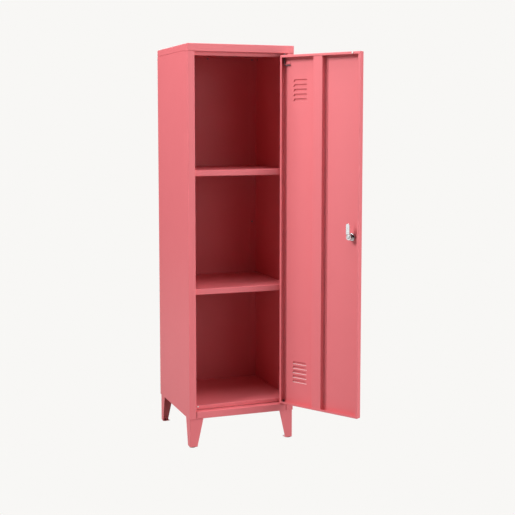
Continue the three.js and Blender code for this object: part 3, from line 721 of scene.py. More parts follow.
class LOCKER_OT_linings(bpy.types.Operator):
    """The ceiling and the floor, each with a door stop along its front."""

    bl_idname = "locker.linings"
    bl_label = "Ceiling and floor"

    def execute(self, context):
        ceiling = lining("ceiling_tray", CEILING_TOP, **CEILING_SIZES)
        finish(ceiling, ["ceiling_panel"], "cabinet", finish_of("paint"))
        floor = lining("floor_tray", FLOOR_TOP, **FLOOR_SIZES)
        finish(floor, ["floor_panel"], "cabinet", finish_of("paint"))
        return {"FINISHED"}


class LOCKER_OT_front_rail(bpy.types.Operator):
    """The channel under the door. Its ledge carries the lower hinge pin."""

    bl_idname = "locker.front_rail"
    bl_label = "Front rail"

    def execute(self, context):
        half, sheet = OPENING_HALF - SEAM, sizes().sheet
        foot, ledge_depth, end_flange = 0.010, 0.040, 0.012
        rail = folded(
            "rail_channel",
            [
                (HALF_DEPTH - foot, BODY_BASE),
                (HALF_DEPTH, BODY_BASE),
                (HALF_DEPTH, LEDGE),
                (HALF_DEPTH - ledge_depth, LEDGE),
            ],
            -half,
            half,
        )
        rail.data.transform(SECTION_FACING_FRONT)
        face_out(rail)
        above_tabs = BODY_BASE + sheet + sizes().leg_sheet + 2 * GAP
        for sign in (-1, 1):
            end = block(
                "end flange",
                (half - sheet, -HALF_DEPTH + sheet / 2, above_tabs),
                (half, -HALF_DEPTH + end_flange, LEDGE - sheet / 2),
            )
            weld(rail, settle(end, mirrored(sign)))
        hole = disc("pin hole", PIN_HOLE, LEDGE - 0.002, LEDGE + 0.001, 24)
        carve(rail, settle(hole, Matrix.Translation(PIVOT)))
        finish(rail, ["front_rail"], "cabinet", finish_of("paint"))
        return {"FINISHED"}


class LOCKER_OT_shelves(bpy.types.Operator):
    """Two shelves with a hemmed front edge, and the angles that they stand on."""

    bl_idname = "locker.shelves"
    bl_label = "Shelves"

    def execute(self, context):
        sheet = sizes().sheet
        edge = WALL_IN - 2 * GAP - sheet
        front, back = STOP_Y + 2 * GAP, REAR_IN - 2 * GAP
        top = SHELF_TOPS["lower"]
        flange, front_edge, hem = 0.015, 0.020, 0.010
        shelf = flat("lower_shelf_tray", (-edge, front), (edge, back), top)
        edit(shelf)
        pick(shelf, "EDGE", lambda m, e: True)
        push((0, 0, -flange))
        pick(shelf, "EDGE", lambda m, e: near(m.y, front) and near(m.z, top - flange))
        push((0, 0, flange - front_edge))
        push((0, hem, 0))
        bpy.ops.object.mode_set(mode="OBJECT")
        bend_folds(shelf, sizes().bend)
        thicken(shelf, sheet)
        outer = WALL_IN - GAP
        seat = top - flange - GAP
        width, height = 0.013, 0.014
        base = seat - sheet
        runner = folded(
            "shelf angle pattern",
            [(outer - width, base), (outer, base), (outer, base + height)],
            STOP_Y + 0.015,
            REAR_IN - 0.020,
        )
        runner.data.transform(SECTION_ALONG_Y)
        face_out(runner)
        rivet_head = [(0.0030, 0), (0.0030, 0.0003), (0.0022, 0.0009), (0.0008, 0.0012)]
        for y in (-0.110, 0.0, 0.150):
            rivet = turned("rivet", rivet_head, 20)
            settle(rivet, Matrix.Translation((outer - sheet, y, seat + 0.006)) @ ALONG_MINUS_X)
            weld(runner, rivet)
        lift = Matrix.Translation((0, 0, SHELF_TOPS["upper"] - top))
        for level, raised in (("lower", Matrix.Identity(4)), ("upper", lift)):
            for side, sign in SIDES:
                angle = copied(runner, f"{level}_{side}_shelf_angle", raised @ mirrored(sign))
                finish(angle, [f"{level}_shelf_{side}_runner"], "cabinet", finish_of("paint"))
        bpy.data.objects.remove(runner)
        upper = copied(shelf, "upper_shelf_tray", lift)
        finish(shelf, ["lower_shelf"], "cabinet", finish_of("paint"))
        finish(upper, ["upper_shelf"], "cabinet", finish_of("paint"))
        return {"FINISHED"}


def cross_recess(size, low, high):
    """A cross-shaped driver recess."""
    thin = size * 0.28
    return [
        block("slot", (-size, -thin, low), (size, thin, high)),
        block("slot", (-thin, -size, low), (thin, size, high)),
    ]


def pan_screw(name, head, head_height, shank, seat, end):
    """A pan-head screw pointing up, whose head sits under the height of its seat."""
    base = seat - head_height
    screw = turned(
        name,
        [
            (head * 0.45, base),
            (head * 0.75, base + head_height * 0.10),
            (head * 0.93, base + head_height * 0.30),
            (head, base + head_height * 0.60),
            (head, seat),
            (shank, seat),
            (shank, end - shank * 0.5),
            (shank * 0.6, end),
        ],
        24,
    )
    for slot in cross_recess(head * 0.52, base - 0.001, base + head_height * 0.5):
        carve(screw, slot)
    return screw


class LOCKER_OT_legs(bpy.types.Operator):
    """Four legs folded at their outer corner, with a glide and two screws each."""

    bl_idname = "locker.legs"
    bl_label = "Legs"

    def execute(self, context):
        outer, inner, taper = 0.188, 0.140, 0.022
        base, top = GLIDE_HEIGHT + GAP, BODY_BASE - GAP
        leg = block("leg pattern", (inner, -outer, base), (outer, -inner, top))
        edit(leg)
        pick(leg, "VERT", lambda m, v: near(m.z, base) and near(m.x, inner))
        bpy.ops.transform.translate(value=(taper, 0, 0))
        pick(leg, "VERT", lambda m, v: near(m.z, base) and near(m.y, -inner))
        bpy.ops.transform.translate(value=(0, -taper, 0))
        pick(leg, "FACE", lambda m, f: f.normal.x < -0.5 or f.normal.y > 0.5)
        bpy.ops.mesh.delete(type="FACE")
        bpy.ops.object.mode_set(mode="OBJECT")
        bend_folds(leg, sizes().leg_sheet * 2)
        thicken(leg, sizes().leg_sheet)
        # The plate on top is cut off across its inner corner.
        cut, cut_at = 0.05, 0.160
        diagonal = block("diagonal cut", (-cut, 0, top - 0.003), (cut, cut, top + 0.001))
        middle = Matrix.Translation((cut_at, -cut_at, 0)) @ Matrix.Rotation(math.pi / 4, 4, "Z")
        carve(leg, settle(diagonal, middle))
        radius, stem, stem_top, break_edge = 0.011, 0.003, 0.0067, 0.0004
        glide = turned(
            "glide pattern",
            [
                (radius * 0.64, break_edge),
                (radius * 0.70, 0.0),
                (radius - break_edge, 0.0),
                (radius, break_edge),
                (radius, GLIDE_HEIGHT - break_edge),
                (radius - break_edge, GLIDE_HEIGHT),
                (stem, GLIDE_HEIGHT),
                (stem, stem_top - 0.001),
                (stem * 0.7, stem_top),
            ],
            40,
        )
        settle(glide, Matrix.Translation((0.176, -0.176, 0)))
        seat = top - sizes().leg_sheet - GAP
        screw = pan_screw(
            "leg screw pattern", head=0.0045, head_height=0.0026, shank=0.0025, seat=seat, end=0.1053
        )
        spots = [(0.178, -0.160), (0.160, -0.172)]
        for corner, sx, sy in CORNERS:
            flip = mirrored(sx, sy)
            folded_leg = copied(leg, f"{corner}_folded_leg", flip)
            finish(folded_leg, [f"{corner}_leg"], "cabinet", finish_of("paint"))
            foot = copied(glide, f"{corner}_foot_glide", flip)
            finish(foot, [f"{corner}_glide"], "cabinet", finish_of("nylon"))
            for number, (x, y) in enumerate(spots, 1):
                turn = Matrix.Rotation(0.7 * number + sx + sy, 4, "Z")
                place = Matrix.Translation((sx * x, sy * y, 0)) @ turn
                bolt = copied(screw, f"{corner}_leg_bolt_{number}", place)
                finish(bolt, [f"{corner}_leg_screw_{number}"], "cabinet", finish_of("zinc"), 40)
        for pattern in (leg, glide, screw):
            bpy.data.objects.remove(pattern)
        return {"FINISHED"}


class LOCKER_OT_body_screws(bpy.types.Operator):
    """The small screws seen inside, at the back flanges and the ceiling."""

    bl_idname = "locker.body_screws"
    bl_label = "Body screws"

    def execute(self, context):
        under = REAR_IN - 2 * GAP - sizes().sheet
        on = REAR_IN - GAP
        end = HALF_DEPTH - 0.0001
        wall_seat = WALL_IN - 2 * GAP - sizes().sheet
        reaches = {under: end - under, on: end - on, wall_seat: WALL_IN + 0.0004 - wall_seat}
        patterns = {
            seat: pan_screw(
                "screw pattern", head=0.0032, head_height=0.0019, shank=0.0016, seat=0, end=reach
            )
            for seat, reach in reaches.items()
        }
        turn = 0.4
        places = [
            (f"back_screw_{side}_{row}", sign * BACK_SCREW_X, z, on if row == "middle" else under)
            for side, sign in SIDES
            for row, z in BACK_SCREW_ROWS.items()
        ]
        places.append(("ceiling_screw_rear", 0, BACK_SCREW_ROWS["top"], under))
        for node, x, z, seat in places:
            turn += 0.9
            place = Matrix.Translation((x, seat, z)) @ ALONG_Y @ Matrix.Rotation(turn, 4, "Z")
            screw = copied(patterns[seat], node.replace("screw", "panhead"), place)
            finish(screw, [node], "cabinet", finish_of("grey_zinc"), 40)
        for side, sign in SIDES:
            spot = Matrix.Translation((wall_seat, REAR_IN - GAP - 0.024, BACK_SCREW_ROWS["top"]))
            place = mirrored(sign) @ spot @ ALONG_X @ Matrix.Rotation(turn, 4, "Z")
            screw = copied(patterns[wall_seat], f"ceiling_panhead_{side}", place)
            finish(screw, [f"ceiling_screw_{side}"], "cabinet", finish_of("grey_zinc"), 40)
        for pattern in patterns.values():
            bpy.data.objects.remove(pattern)
        return {"FINISHED"}


# ------------------------------------------------------------------ door

BARREL_RADIUS = 0.0094
LOUVRE_SIZE = (0.064, 0.011)
LOUVRE_TAPER = 0.006
LOUVRE_X = 0.0735
LOUVRE_PITCH = 0.0162
LOUVRE_GROUPS = (DOOR_BASE + 0.118, DOOR_HEAD - 0.118)


def hood(name, inset, base):
    """A louvre's pressed hood, wide and open at its lower edge, shrunk by an inset."""
    width, height = LOUVRE_SIZE
    out = sizes().louvre_hood - inset
    half = width / 2 - inset
    mouth_slope, rounding = 0.002, 0.0016
    # The shrunk one is a cutter, and runs out below the hood so that the mouth opens.
    low = -height / 2 - (0.0002 if inset else 0)
    high = height / 2 - inset
    crest = height * 0.10 - inset
    piece = block(name, (-half, base, low), (half, out, high))
    edit(piece)
    pick(piece, "VERT", lambda m, v: near(m.z, high))
    share = (half - LOUVRE_TAPER) / half
    bpy.ops.transform.resize(value=(share, 1, 1), center_override=(0, 0, 0))
    pick(piece, "VERT", lambda m, v: near(m.z, high) and near(m.y, out))
    bpy.ops.transform.translate(value=(0, 0, crest - high))
    pick(piece, "VERT", lambda m, v: near(m.z, low) and near(m.y, out))
    share = (half - mouth_slope) / half
    bpy.ops.transform.resize(value=(share, 1, 1), center_override=(0, 0, 0))
    pick(piece, "EDGE", lambda m, e: m.y > base + 1e-4 and m.z > low + 1e-4)
    bpy.ops.mesh.bevel(offset=rounding - inset, segments=3, affect="EDGES")
    bpy.ops.object.mode_set(mode="OBJECT")
    return face_out(piece)


class LOCKER_OT_door_panel(bpy.types.Operator):
    """The door: a pan folded on all four sides, with louvres pressed out near both ends."""

    bl_idname = "locker.door_panel"
    bl_label = "Door panel"

    def execute(self, context):
        sheet, bend = sizes().sheet, sizes().bend
        door = block("door_pan", (0, -DOOR_DEPTH, DOOR_BASE), (DOOR_WIDTH, 0, DOOR_HEAD))
        edit(door)
        pick(door, "FACE", lambda m, f: near(m.y, -DOOR_DEPTH))
        bpy.ops.mesh.inset(thickness=DOOR_LIP)
        bpy.ops.mesh.delete(type="FACE")
        pick(door, "EDGE", lambda m, e: not e.is_boundary and e.calc_face_angle(0) > 0.5)
        bpy.ops.mesh.bevel(offset=bend, segments=4, affect="EDGES")
        bpy.ops.object.mode_set(mode="OBJECT")
        thicken(door, sheet)
        spots = [centre + step * LOUVRE_PITCH for centre in LOUVRE_GROUPS for step in range(-2, 3)]
        for inset, base, join in ((0, -sheet / 2, weld), (sheet, -sheet - 0.001, carve)):
            pattern = hood("hood", inset, base)
            row = [copied(pattern, "hood", Matrix.Translation((LOUVRE_X, 0, z))) for z in spots]
            bpy.data.objects.remove(pattern)
            join(door, *row)
        lock_hole = disc("lock hole", BARREL_RADIUS + GAP, -0.003, 0.003, 48)
        carve(door, settle(lock_hole, Matrix.Translation((LOCK_X, 0, DOOR_MIDDLE)) @ ALONG_Y))
        pin_line = Matrix.Translation((PIVOT_IN, -PIVOT_BACK, 0))
        for z in (DOOR_BASE, DOOR_HEAD - sheet):
            carve(door, settle(disc("pin hole", PIN_HOLE, z - 0.001, z + 0.002, 24), pin_line))
        settle(door, DOOR_PLACE)
        finish(door, ["door_panel"], "door", finish_of("paint"))
        return {"FINISHED"}


class LOCKER_OT_door_stiffener(bpy.types.Operator):
    """The hat-shaped channel that runs up the inside of the door."""

    bl_idname = "locker.door_stiffener"
    bl_label = "Door stiffener"

    def execute(self, context):
        sheet = sizes().sheet
        face = -DOOR_DEPTH + sheet + GAP
        foot = -sheet - GAP - sheet
        near_x, far_x, flange = 0.1385, 0.1765, 0.010
        corners = [
            (near_x - flange, foot),
            (near_x, foot),
            (near_x, face),
            (far_x, face),
            (far_x, foot),
            (far_x + flange, foot),
        ]
        channel = folded("door_hat_channel", corners, DOOR_BASE + sheet + GAP, DOOR_HEAD - sheet - GAP)
        settle(channel, DOOR_PLACE)
        finish(channel, ["door_stiffener"], "door", finish_of("paint"))
        return {"FINISHED"}


def coil_spring(name, radius, wire, low, high, turns):
    """A coil spring on the Z axis with one closed turn at each end."""
    closed = wire * 2.2
    rises = [closed, high - low - 2 * wire - 2 * closed, closed]
    base = low + wire
    coils = []
    for rise, count in zip(rises, (1, turns, 1)):
        rest()
        bpy.ops.mesh.primitive_circle_add(
            vertices=10, radius=wire, location=(radius, 0, base), rotation=(math.pi / 2, 0, 0)
        )
        coil = added(name)
        steps = 28 * count
        modify(coil, "SCREW", angle=2 * math.pi * count, screw_offset=rise, steps=steps, render_steps=steps)
        coils.append(coil)
        base += rise
    spring = gather(coils)
    edit(spring)
    bpy.ops.mesh.select_all(action="SELECT")
    bpy.ops.mesh.remove_doubles(threshold=1e-5)
    for half in (False, True):
        pick(spring, "EDGE", lambda m, e: e.is_boundary and (m.z > (low + high) / 2) == half)
        bpy.ops.mesh.edge_face_add()
    bpy.ops.object.mode_set(mode="OBJECT")
    return spring


class LOCKER_OT_hinge_pins(bpy.types.Operator):
    """The sprung upper pin with its bracket and coil, and the headed lower pin on its washer."""

    bl_idname = "locker.hinge_pins"
    bl_label = "Hinge pins"

    def execute(self, context):
        pin_spot = Matrix.Translation((PIVOT_IN, -PIVOT_BACK, 0))
        pin_line = DOOR_PLACE @ pin_spot
        radius, bend, bracket_sheet = PIN_RADIUS, 0.0035, 0.0012
        bracket_top = DOOR_HEAD - 0.030
        tail = bracket_top - bracket_sheet - 0.0005 - radius
        pin_top = SKIRT_FRONT + 0.0045
        pin = turned(
            "sprung_hinge_pin",
            [(radius * 0.55, pin_top), (radius, pin_top - 0.0008), (radius, tail + bend)],
            24,
        )
        edit(pin)
        pick(pin, "FACE", lambda m, f: near(m.z, tail + bend) and abs(f.normal.z) > 0.9)
        bpy.ops.mesh.spin(
            steps=8, angle=math.pi / 2, center=(bend, 0, tail + bend), axis=(0, 1, 0), use_normal_flip=False
        )
        ends = [f.calc_center_median() for f in bmesh.from_edit_mesh(pin.data).faces if f.select]
        if not ends or not near(ends[0].z, tail, 1e-4):
            raise RuntimeError("the hinge pin's tail was bent the wrong way")
        push((0.032 - PIVOT_IN - bend, 0, 0))
        bpy.ops.object.mode_set(mode="OBJECT")
        face_out(pin)
        collar_base = bracket_top + 0.018
        collar = turned(
            "collar",
            [
                (0.0030, collar_base),
                (0.0034, collar_base + 0.0003),
                (0.0034, collar_base + 0.0009),
                (0.0030, collar_base + 0.0012),
            ],
            28,
        )
        weld(pin, collar)
        settle(pin, pin_line)
        finish(pin, ["upper_hinge_pin"], "upper_pin", finish_of("grey_zinc"))

        low = bracket_top - bracket_sheet
        back = sizes().sheet + GAP
        length, foot, upright = 0.030, 0.009, 0.012
        bracket = folded(
            "hinge_pin_angle",
            [(-back - foot, low), (-back, low), (-back, low + upright)],
            back,
            length,
            bracket_sheet,
        )
        bracket.data.transform(SECTION_ALONG_X)
        trim = block("trim", (0, -0.01, bracket_top), (PIVOT_IN + 0.006, 0.001, low + 0.02))
        hole = settle(disc("pin hole", PIN_HOLE, low - 0.001, bracket_top + 0.001, 24), pin_spot)
        carve(bracket, trim)
        carve(bracket, hole)
        edit(bracket)
        pick(bracket, "EDGE", lambda m, e: along(e, 2) and near(m.x, length) and near(m.y, -back - foot))
        bpy.ops.mesh.bevel(offset=0.002, segments=4, affect="EDGES")
        pick(bracket, "EDGE", lambda m, e: along(e, 1) and near(m.z, low + upright))
        bpy.ops.mesh.bevel(offset=0.002, segments=4, affect="EDGES")
        bpy.ops.object.mode_set(mode="OBJECT")
        settle(bracket, DOOR_PLACE)
        finish(bracket, ["hinge_pin_bracket"], "door", finish_of("paint"))

        spring = coil_spring("hinge_coil_spring", 0.0027, 0.0004, bracket_top + GAP, collar_base - GAP, 4)
        settle(spring, pin_line)
        finish(spring, ["hinge_pin_spring"], "door", finish_of("grey_zinc"), 60)
        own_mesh(spring)

        seat, head = DOOR_BASE + sizes().sheet + GAP, 0.0034
        stud = turned(
            "headed_hinge_stud",
            [
                (radius * 0.6, LEDGE - 0.006),
                (radius * 0.9, LEDGE - 0.0057),
                (radius, LEDGE - 0.005),
                (radius, seat),
                (head - 0.0003, seat),
                (head, seat + 0.0003),
                (head, seat + 0.0062),
                (head - 0.0004, seat + 0.0066),
                (head, seat + 0.0070),
                (head, seat + 0.0085),
                (head - 0.0003, seat + 0.0091),
                (head - 0.0010, seat + 0.0095),
            ],
            32,
        )
        settle(stud, pin_line)
        finish(stud, ["lower_hinge_pin"], "door", finish_of("dark_steel"))

        outer, floor, top = PIVOT_BACK - GAP, LEDGE + GAP, DOOR_BASE - GAP
        washer = turned(
            "hinge_washer",
            [(outer - 0.0003, floor), (outer, floor + 0.0003), (outer, top - 0.0003), (outer - 0.0003, top)],
            32,
        )
        carve(washer, disc("pin hole", PIN_HOLE, floor - 0.001, top + 0.001, 32))
        settle(washer, Matrix.Translation(PIVOT))
        finish(washer, ["lower_hinge_washer"], "cabinet", finish_of("nylon"))
        return {"FINISHED"}


# ------------------------------------------------------------------ lock

# Lock pieces are drawn along +Z, into the cabinet, with z = 0 at the door's front face.
BARREL_END = 0.021
FLANGE_FRONT = -0.0025
KEYWAY = (0.0026, 0.0081)
HUB_BASE = BARREL_END + GAP
CAM_SHEET = 0.002


class LOCKER_OT_lock_barrel(bpy.types.Operator):
    """The threaded barrel of the cam lock, flatted on two sides, and the nut that clamps it."""

    bl_idname = "locker.lock_barrel"
    bl_label = "Lock barrel and nut"

    def execute(self, context):
        radius, flange, depth = BARREL_RADIUS, 0.0115, 0.0005
        profile = [
            (flange - 0.0012, FLANGE_FRONT),
            (flange - 0.0005, FLANGE_FRONT + 0.0002),
            (flange - 0.0001, FLANGE_FRONT + 0.0007),
            (flange, FLANGE_FRONT + 0.0012),
            (flange, -GAP),
            (radius, -GAP),
        ]
        pitch, threads = 0.0010, 19
        for turn in range(threads):
            low = 0.0010 + turn * pitch
            profile += [(radius, low), (radius - depth, low + pitch * 0.35)]
            profile += [(radius - depth, low + pitch * 0.5), (radius, low + pitch * 0.85)]
        profile += [(radius, BARREL_END - 0.0005), (radius - 0.0005, BARREL_END)]
        barrel = turned("lock_threaded_barrel", profile, 48)
        flat_at, far = 0.00825, 0.012
        for sign in (-1, 1):
            side = block("flat", (-far, flat_at, 0), (far, far, BARREL_END + 0.001))
            carve(barrel, settle(side, mirrored(1, sign)))
        carve(barrel, disc("bore", 0.0063, FLANGE_FRONT - 0.001, BARREL_END + 0.001, 48))
        settle(barrel, LOCK_PLACE)
        finish(barrel, ["lock_barrel"], "door", finish_of("chrome"))

        across, low, high = 0.024, sizes().sheet + GAP, sizes().sheet + GAP + 0.0035
        corner = across / 2 / math.cos(math.pi / 6)
        # Turned corners: the hexagon is cut back by a shallow cone at both faces.
        blank = turned(
            "lock_hexagon_nut",
            [
                (across / 2 - 0.0002, low),
                (corner, low + 0.0008),
                (corner, high - 0.0008),
                (across / 2 - 0.0002, high),
            ],
            64,
        )
        rest()
        bpy.ops.mesh.primitive_cylinder_add(
            vertices=6,
            radius=corner,
            depth=high - low + 0.002,
            location=(0, 0, (low + high) / 2),
            rotation=(0, 0, math.pi / 6),
        )
        carve(blank, added("hexagon"), how="INTERSECT")
        bore = turned(
            "bore",
            [
                (radius + 0.0008, low - 0.0001),
                (radius + GAP, low + 0.0006),
                (radius + GAP, high - 0.0006),
                (radius + 0.0008, high + 0.0001),
            ],
            48,
        )
        carve(blank, bore)
        settle(blank, LOCK_PLACE)
        finish(blank, ["lock_nut"], "door", finish_of("zinc"))
        return {"FINISHED"}


class LOCKER_OT_lock_cylinder(bpy.types.Operator):
    """The plug with its keyway, the cranked cam on the plug's square end, and the slotted screw."""

    bl_idname = "locker.lock_cylinder"
    bl_label = "Lock cylinder and cam"

    def execute(self, context):
        radius, half_square = 0.006, 0.0035
        end = HUB_BASE + CAM_SHEET - 0.0002
        plug = turned(
            "lock_plug_cylinder",
            [
                (radius - 0.0004, FLANGE_FRONT),
                (radius, FLANGE_FRONT + 0.0003),
                (radius, BARREL_END - 0.0003),
                (radius - 0.0003, BARREL_END),
            ],
            48,
        )
        square_low, square_high = (-half_square, -half_square), (half_square, half_square)
        weld(plug, block("square", (*square_low, BARREL_END - 0.001), (*square_high, end)))
        across, tall = KEYWAY[0] / 2, KEYWAY[1] / 2
        carve(plug, block("keyway", (-across, -tall, FLANGE_FRONT - 0.001), (across, tall, 0.016)))
        carve(plug, disc("screw hole", 0.0019, 0.018, end + 0.001, 20))
        settle(plug, LOCK_PLACE)
        finish(plug, ["lock_plug"], "lock_cylinder", finish_of("chrome"))

        half, reach, hub, crank = 0.00675, 0.046, 0.009, 0.0045
        lifted = HUB_BASE + crank
        cam = folded(
            "lock_cranked_cam",
            [(0, HUB_BASE), (0.0098, HUB_BASE), (0.0102, lifted), (reach, lifted)],
            -half,
            half,
            sheet=CAM_SHEET,
            bend=0.0024,
        )
        cam.data.transform(SECTION_ALONG_X)
        edit(cam)
        pick(cam, "EDGE", lambda m, e: along(e, 2) and near(m.y, reach))
        bpy.ops.mesh.bevel(offset=half - 0.0001, segments=12, affect="EDGES")
        bpy.ops.object.mode_set(mode="OBJECT")
        weld(cam, disc("hub", hub, HUB_BASE, HUB_BASE + CAM_SHEET, 48))
        square = half_square + GAP
        carve(cam, block("square", (-square, -square, HUB_BASE - 0.001), (square, square, HUB_BASE + 0.003)))
        soften(cam, 0.0002, 2, 60)
        settle(cam, LOCK_PLACE)
        finish(cam, ["lock_cam"], "lock_cylinder", finish_of("zinc"))

        head, seat, shank = 0.0054, HUB_BASE + CAM_SHEET + GAP, 0.0016
        screw = turned(
            "cam_slotted_screw",
            [
                (shank * 0.7, 0.0185),
                (shank, 0.0190),
                (shank, seat),
                (head - 0.0002, seat),
                (head, seat + 0.0003),
                (head, seat + 0.0010),
                (head * 0.93, seat + 0.0016),
                (head * 0.75, seat + 0.0020),
                (head * 0.5, seat + 0.0022),
            ],
            40,
        )
        slot = block("slot", (-head - 0.001, -0.0006, seat + 0.0009), (head + 0.001, 0.0006, seat + 0.003))
        carve(screw, settle(slot, Matrix.Rotation(math.radians(20), 4, "Z")))
        settle(screw, LOCK_PLACE)
        finish(screw, ["cam_screw"], "lock_cylinder", finish_of("zinc"))
        return {"FINISHED"}


class LOCKER_OT_key(bpy.types.Operator):
    """The flat key in the lock: milled blade with its cuts, shoulders, and a round bow with a ring hole."""

    bl_idname = "locker.key"
    bl_label = "Key"

    def execute(self, context):
        half, edge, bow = 0.001, 0.00375, 0.011
        shoulder = FLANGE_FRONT - GAP
        tip = shoulder + 0.018
        centre = shoulder - 0.004 - bow
        lengthwise = Matrix.Translation((0, 0, centre)) @ ALONG_X
        key = settle(disc("lock_flat_key", bow, -half, half, 64), lengthwise)
        neck = edge + 0.0015
        weld(key, block("neck", (-half, -neck, shoulder - 0.006), (half, neck, shoulder)))
        blade = block("blade", (-half, -edge, shoulder - 0.002), (half, edge, tip))
        edit(blade)
        pick(blade, "EDGE", lambda m, e: along(e, 0) and near(m.z, tip))
        bpy.ops.mesh.bevel(offset=0.0022, segments=3, affect="EDGES")
        bpy.ops.object.mode_set(mode="OBJECT")
        weld(key, blade)
        # Each cut is a square notch stood on its corner, let into the blade to its own depth.
        notch_half, first, pitch = 0.0013, 0.0035, 0.0026
        for step, depth in enumerate((0.0012, 0.0020, 0.0007, 0.0017, 0.0010)):
            notch = block("notch", (-0.002, -notch_half, -notch_half), (0.002, notch_half, notch_half))
            spot = Matrix.Translation((0, edge + 0.0018 - depth, shoulder + first + step * pitch))
            carve(key, settle(notch, spot @ Matrix.Rotation(math.pi / 4, 4, "X")))
        for sign in (-1, 1):
            groove = block(
                "groove", (half - 0.0004, -0.0014, shoulder - 0.001), (half + 0.001, -0.0002, tip + 0.001)
            )
            carve(key, settle(groove, mirrored(sign)))
            panel = settle(disc("panel", bow - 0.0022, half - 0.0002, half + 0.001, 48), lengthwise)
            carve(key, settle(panel, mirrored(sign)))
        ring = Matrix.Translation((0, 0, centre - bow / 2)) @ ALONG_X
        carve(key, settle(disc("ring hole", 0.0025, -0.003, 0.003, 32), ring))
        soften(key, 0.00012, 1, 50)
        settle(key, LOCK_PLACE)
        finish(key, ["lock_key"], "key", finish_of("brushed"))
        return {"FINISHED"}


class LOCKER_OT_bumpers(bpy.types.Operator):
    """Two soft domes: one on the door's lip and one on the floor's door stop."""

    bl_idname = "locker.bumpers"
    bl_label = "Bumpers"

    def execute(self, context):
        radius, height = 0.0032, 0.003
        from_edge, from_top, from_post = 0.030, 0.004, 0.012
        dome = [
            (math.cos(step * math.pi / 16), 0.25 + 0.75 * math.sin(step * math.pi / 16)) for step in range(8)
        ]
        profile = [(radius, 0)] + [(radius * across, height * up) for across, up in dome]
        spots = {
            "door": DOOR_PLACE
            @ Matrix.Translation((DOOR_WIDTH - from_edge, -DOOR_DEPTH - GAP, DOOR_HEAD - from_top)),
            "floor": Matrix.Translation(
                (from_post - OPENING_HALF, STOP_Y - sizes().sheet - GAP, FLOOR_TOP - radius - sizes().sheet)
            ),
        }
        for spot, place in spots.items():
            piece = turned(f"{spot}_silicone_dome", profile, 28)
            settle(piece, place @ ALONG_MINUS_Y)
            body = "door" if spot == "door" else "cabinet"
            finish(piece, [f"{spot}_bumper"], body, finish_of("silicone"), 60)
        return {"FINISHED"}


# ------------------------------------------------------------------ stage

BACKDROP = linear("f8f7f5")
FLOOR_REACH = 6.0  # the floor runs this far from the cabinet on all sides
ROOM_LIGHT = 0.01  # faint light from all round, beside the softboxes
EYE_SPOT = (-1.1926, -3.5688, 1.0960)
EYE_TILT = math.radians(84.311)
EYE_TURN = math.radians(-20.294)
FOCAL_LENGTH = 73.73  # millimetres, on a frame 36 wide
FRAME_SHIFT = -0.0505  # leaves more room under the legs than over the cap
LIT_POINT = Vector((0, 0, 0.7))
# Each softbox: where it hangs, its width and its power.
SOFTBOXES = {
    "high left softbox": ((-3.0, -0.5, 3.2), 1.6, 162),
    "low left softbox": ((-3.4, -0.45, 0.85), 1.6, 11),
    "right softbox": ((3.0, -3.2, 1.2), 1.6, 122),
    "front right softbox": ((1.2, -4.4, 1.6), 1.6, 11),
    "overhead softbox": ((0, -0.9, 3.8), 2.0, 66),
    "high front softbox": ((-0.4, -3.4, 3.4), 1.6, 7),
    "rear softbox": ((0.9, 3.8, 1.9), 2.0, 70),
}


def pale_from_the_front(tree, shader):
    """Lets the floor meet the backdrop without an edge: it is seen in the backdrop's own tone."""
    output = next(node for node in tree.nodes if node.type == "OUTPUT_MATERIAL")
    tone = add_node(tree, "ShaderNodeEmission", {"Color": (*BACKDROP, 1), "Strength": 1.0})
    path = add_node(tree, "ShaderNodeLightPath", {})
    mix = add_node(
        tree,
        "ShaderNodeMixShader",
        {},
        [(0, path.outputs["Is Camera Ray"]), (1, shader.outputs["BSDF"]), (2, tone.outputs["Emission"])],
    )
    tree.links.new(mix.outputs[0], output.inputs["Surface"])


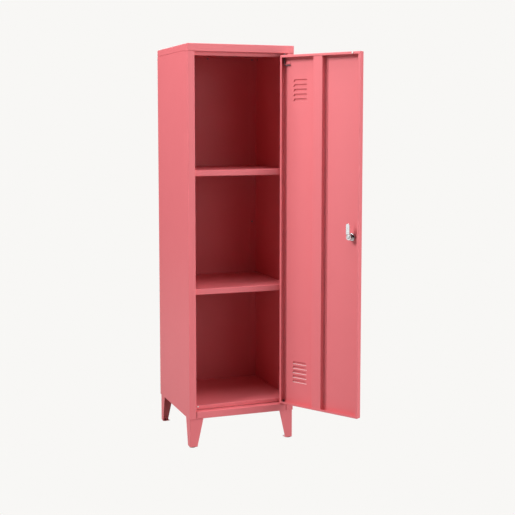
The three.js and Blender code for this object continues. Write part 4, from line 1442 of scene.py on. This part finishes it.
class LOCKER_OT_stage(bpy.types.Operator):
    """The pale floor, the soft studio light and the camera."""

    bl_idname = "locker.stage"
    bl_label = "Stage"

    def execute(self, context):
        scene = context.scene
        floor = flat("studio_floor", (-FLOOR_REACH, -FLOOR_REACH), (FLOOR_REACH, FLOOR_REACH), 0)
        material, tree, shader, _ = finish_base(
            "studio floor, painted matt", {"Roughness": 0.9, "Base Color": (*colours().floor, 1)}
        )
        floor.data.materials.append(material)
        pale_from_the_front(tree, shader)

        world = bpy.data.worlds.new("studio")
        world.use_nodes = True
        tree = world.node_tree
        tree.nodes.clear()
        seen = add_node(tree, "ShaderNodeBackground", {"Color": (*BACKDROP, 1), "Strength": 1.0})
        lit = add_node(tree, "ShaderNodeBackground", {"Color": (1, 1, 1, 1), "Strength": ROOM_LIGHT})
        path = add_node(tree, "ShaderNodeLightPath", {})
        mix = add_node(
            tree,
            "ShaderNodeMixShader",
            {},
            [(0, path.outputs["Is Camera Ray"]), (1, lit.outputs[0]), (2, seen.outputs[0])],
        )
        add_node(tree, "ShaderNodeOutputWorld", {}, [("Surface", mix.outputs[0])])
        scene.world = world

        for name, (spot, size, power) in SOFTBOXES.items():
            lamp = bpy.data.lights.new(name, "AREA")
            lamp.shape = "SQUARE"
            lamp.size = size
            lamp.energy = power
            holder = bpy.data.objects.new(name, lamp)
            scene.collection.objects.link(holder)
            holder.location = spot
            holder.rotation_euler = (LIT_POINT - Vector(spot)).to_track_quat("-Z", "Y").to_euler()

        lens = bpy.data.cameras.new("view")
        lens.lens = FOCAL_LENGTH
        lens.sensor_width = 36
        lens.shift_y = FRAME_SHIFT
        eye = bpy.data.objects.new("view", lens)
        scene.collection.objects.link(eye)
        eye.location = EYE_SPOT
        eye.rotation_euler = (EYE_TILT, 0, EYE_TURN)
        scene.camera = eye
        scene.view_settings.view_transform = "Standard"
        return {"FINISHED"}


# ------------------------------------------------------------------ add-on

OPERATORS = (
    LOCKER_OT_side_panels,
    LOCKER_OT_back_panel,
    LOCKER_OT_top_cap,
    LOCKER_OT_linings,
    LOCKER_OT_front_rail,
    LOCKER_OT_shelves,
    LOCKER_OT_legs,
    LOCKER_OT_body_screws,
    LOCKER_OT_door_panel,
    LOCKER_OT_door_stiffener,
    LOCKER_OT_hinge_pins,
    LOCKER_OT_lock_barrel,
    LOCKER_OT_lock_cylinder,
    LOCKER_OT_key,
    LOCKER_OT_bumpers,
    LOCKER_OT_stage,
)


class LOCKER_PT_pieces(bpy.types.Panel):
    """Lists the cabinet's settings and the operators that make its pieces."""

    bl_idname = "LOCKER_PT_pieces"
    bl_label = "Locker cabinet"
    bl_space_type = "VIEW_3D"
    bl_region_type = "UI"
    bl_category = "Locker"

    def draw(self, context):
        for settings in (context.scene.locker_sizes, context.scene.locker_colours):
            for name in settings.__annotations__:
                self.layout.prop(settings, name)
        for operator in OPERATORS:
            self.layout.operator(operator.bl_idname)


def register():
    for kind in (LockerSizes, LockerColours, *OPERATORS, LOCKER_PT_pieces):
        bpy.utils.register_class(kind)
    bpy.types.Scene.locker_sizes = bpy.props.PointerProperty(type=LockerSizes)
    bpy.types.Scene.locker_colours = bpy.props.PointerProperty(type=LockerColours)


def unregister():
    del bpy.types.Scene.locker_colours
    del bpy.types.Scene.locker_sizes
    for kind in reversed((LockerSizes, LockerColours, *OPERATORS, LOCKER_PT_pieces)):
        bpy.utils.unregister_class(kind)


def main():
    register()
    for operator in OPERATORS:
        name = operator.bl_idname.removeprefix("locker.")
        getattr(bpy.ops.locker, name)()


if __name__ == "__main__":
    main()
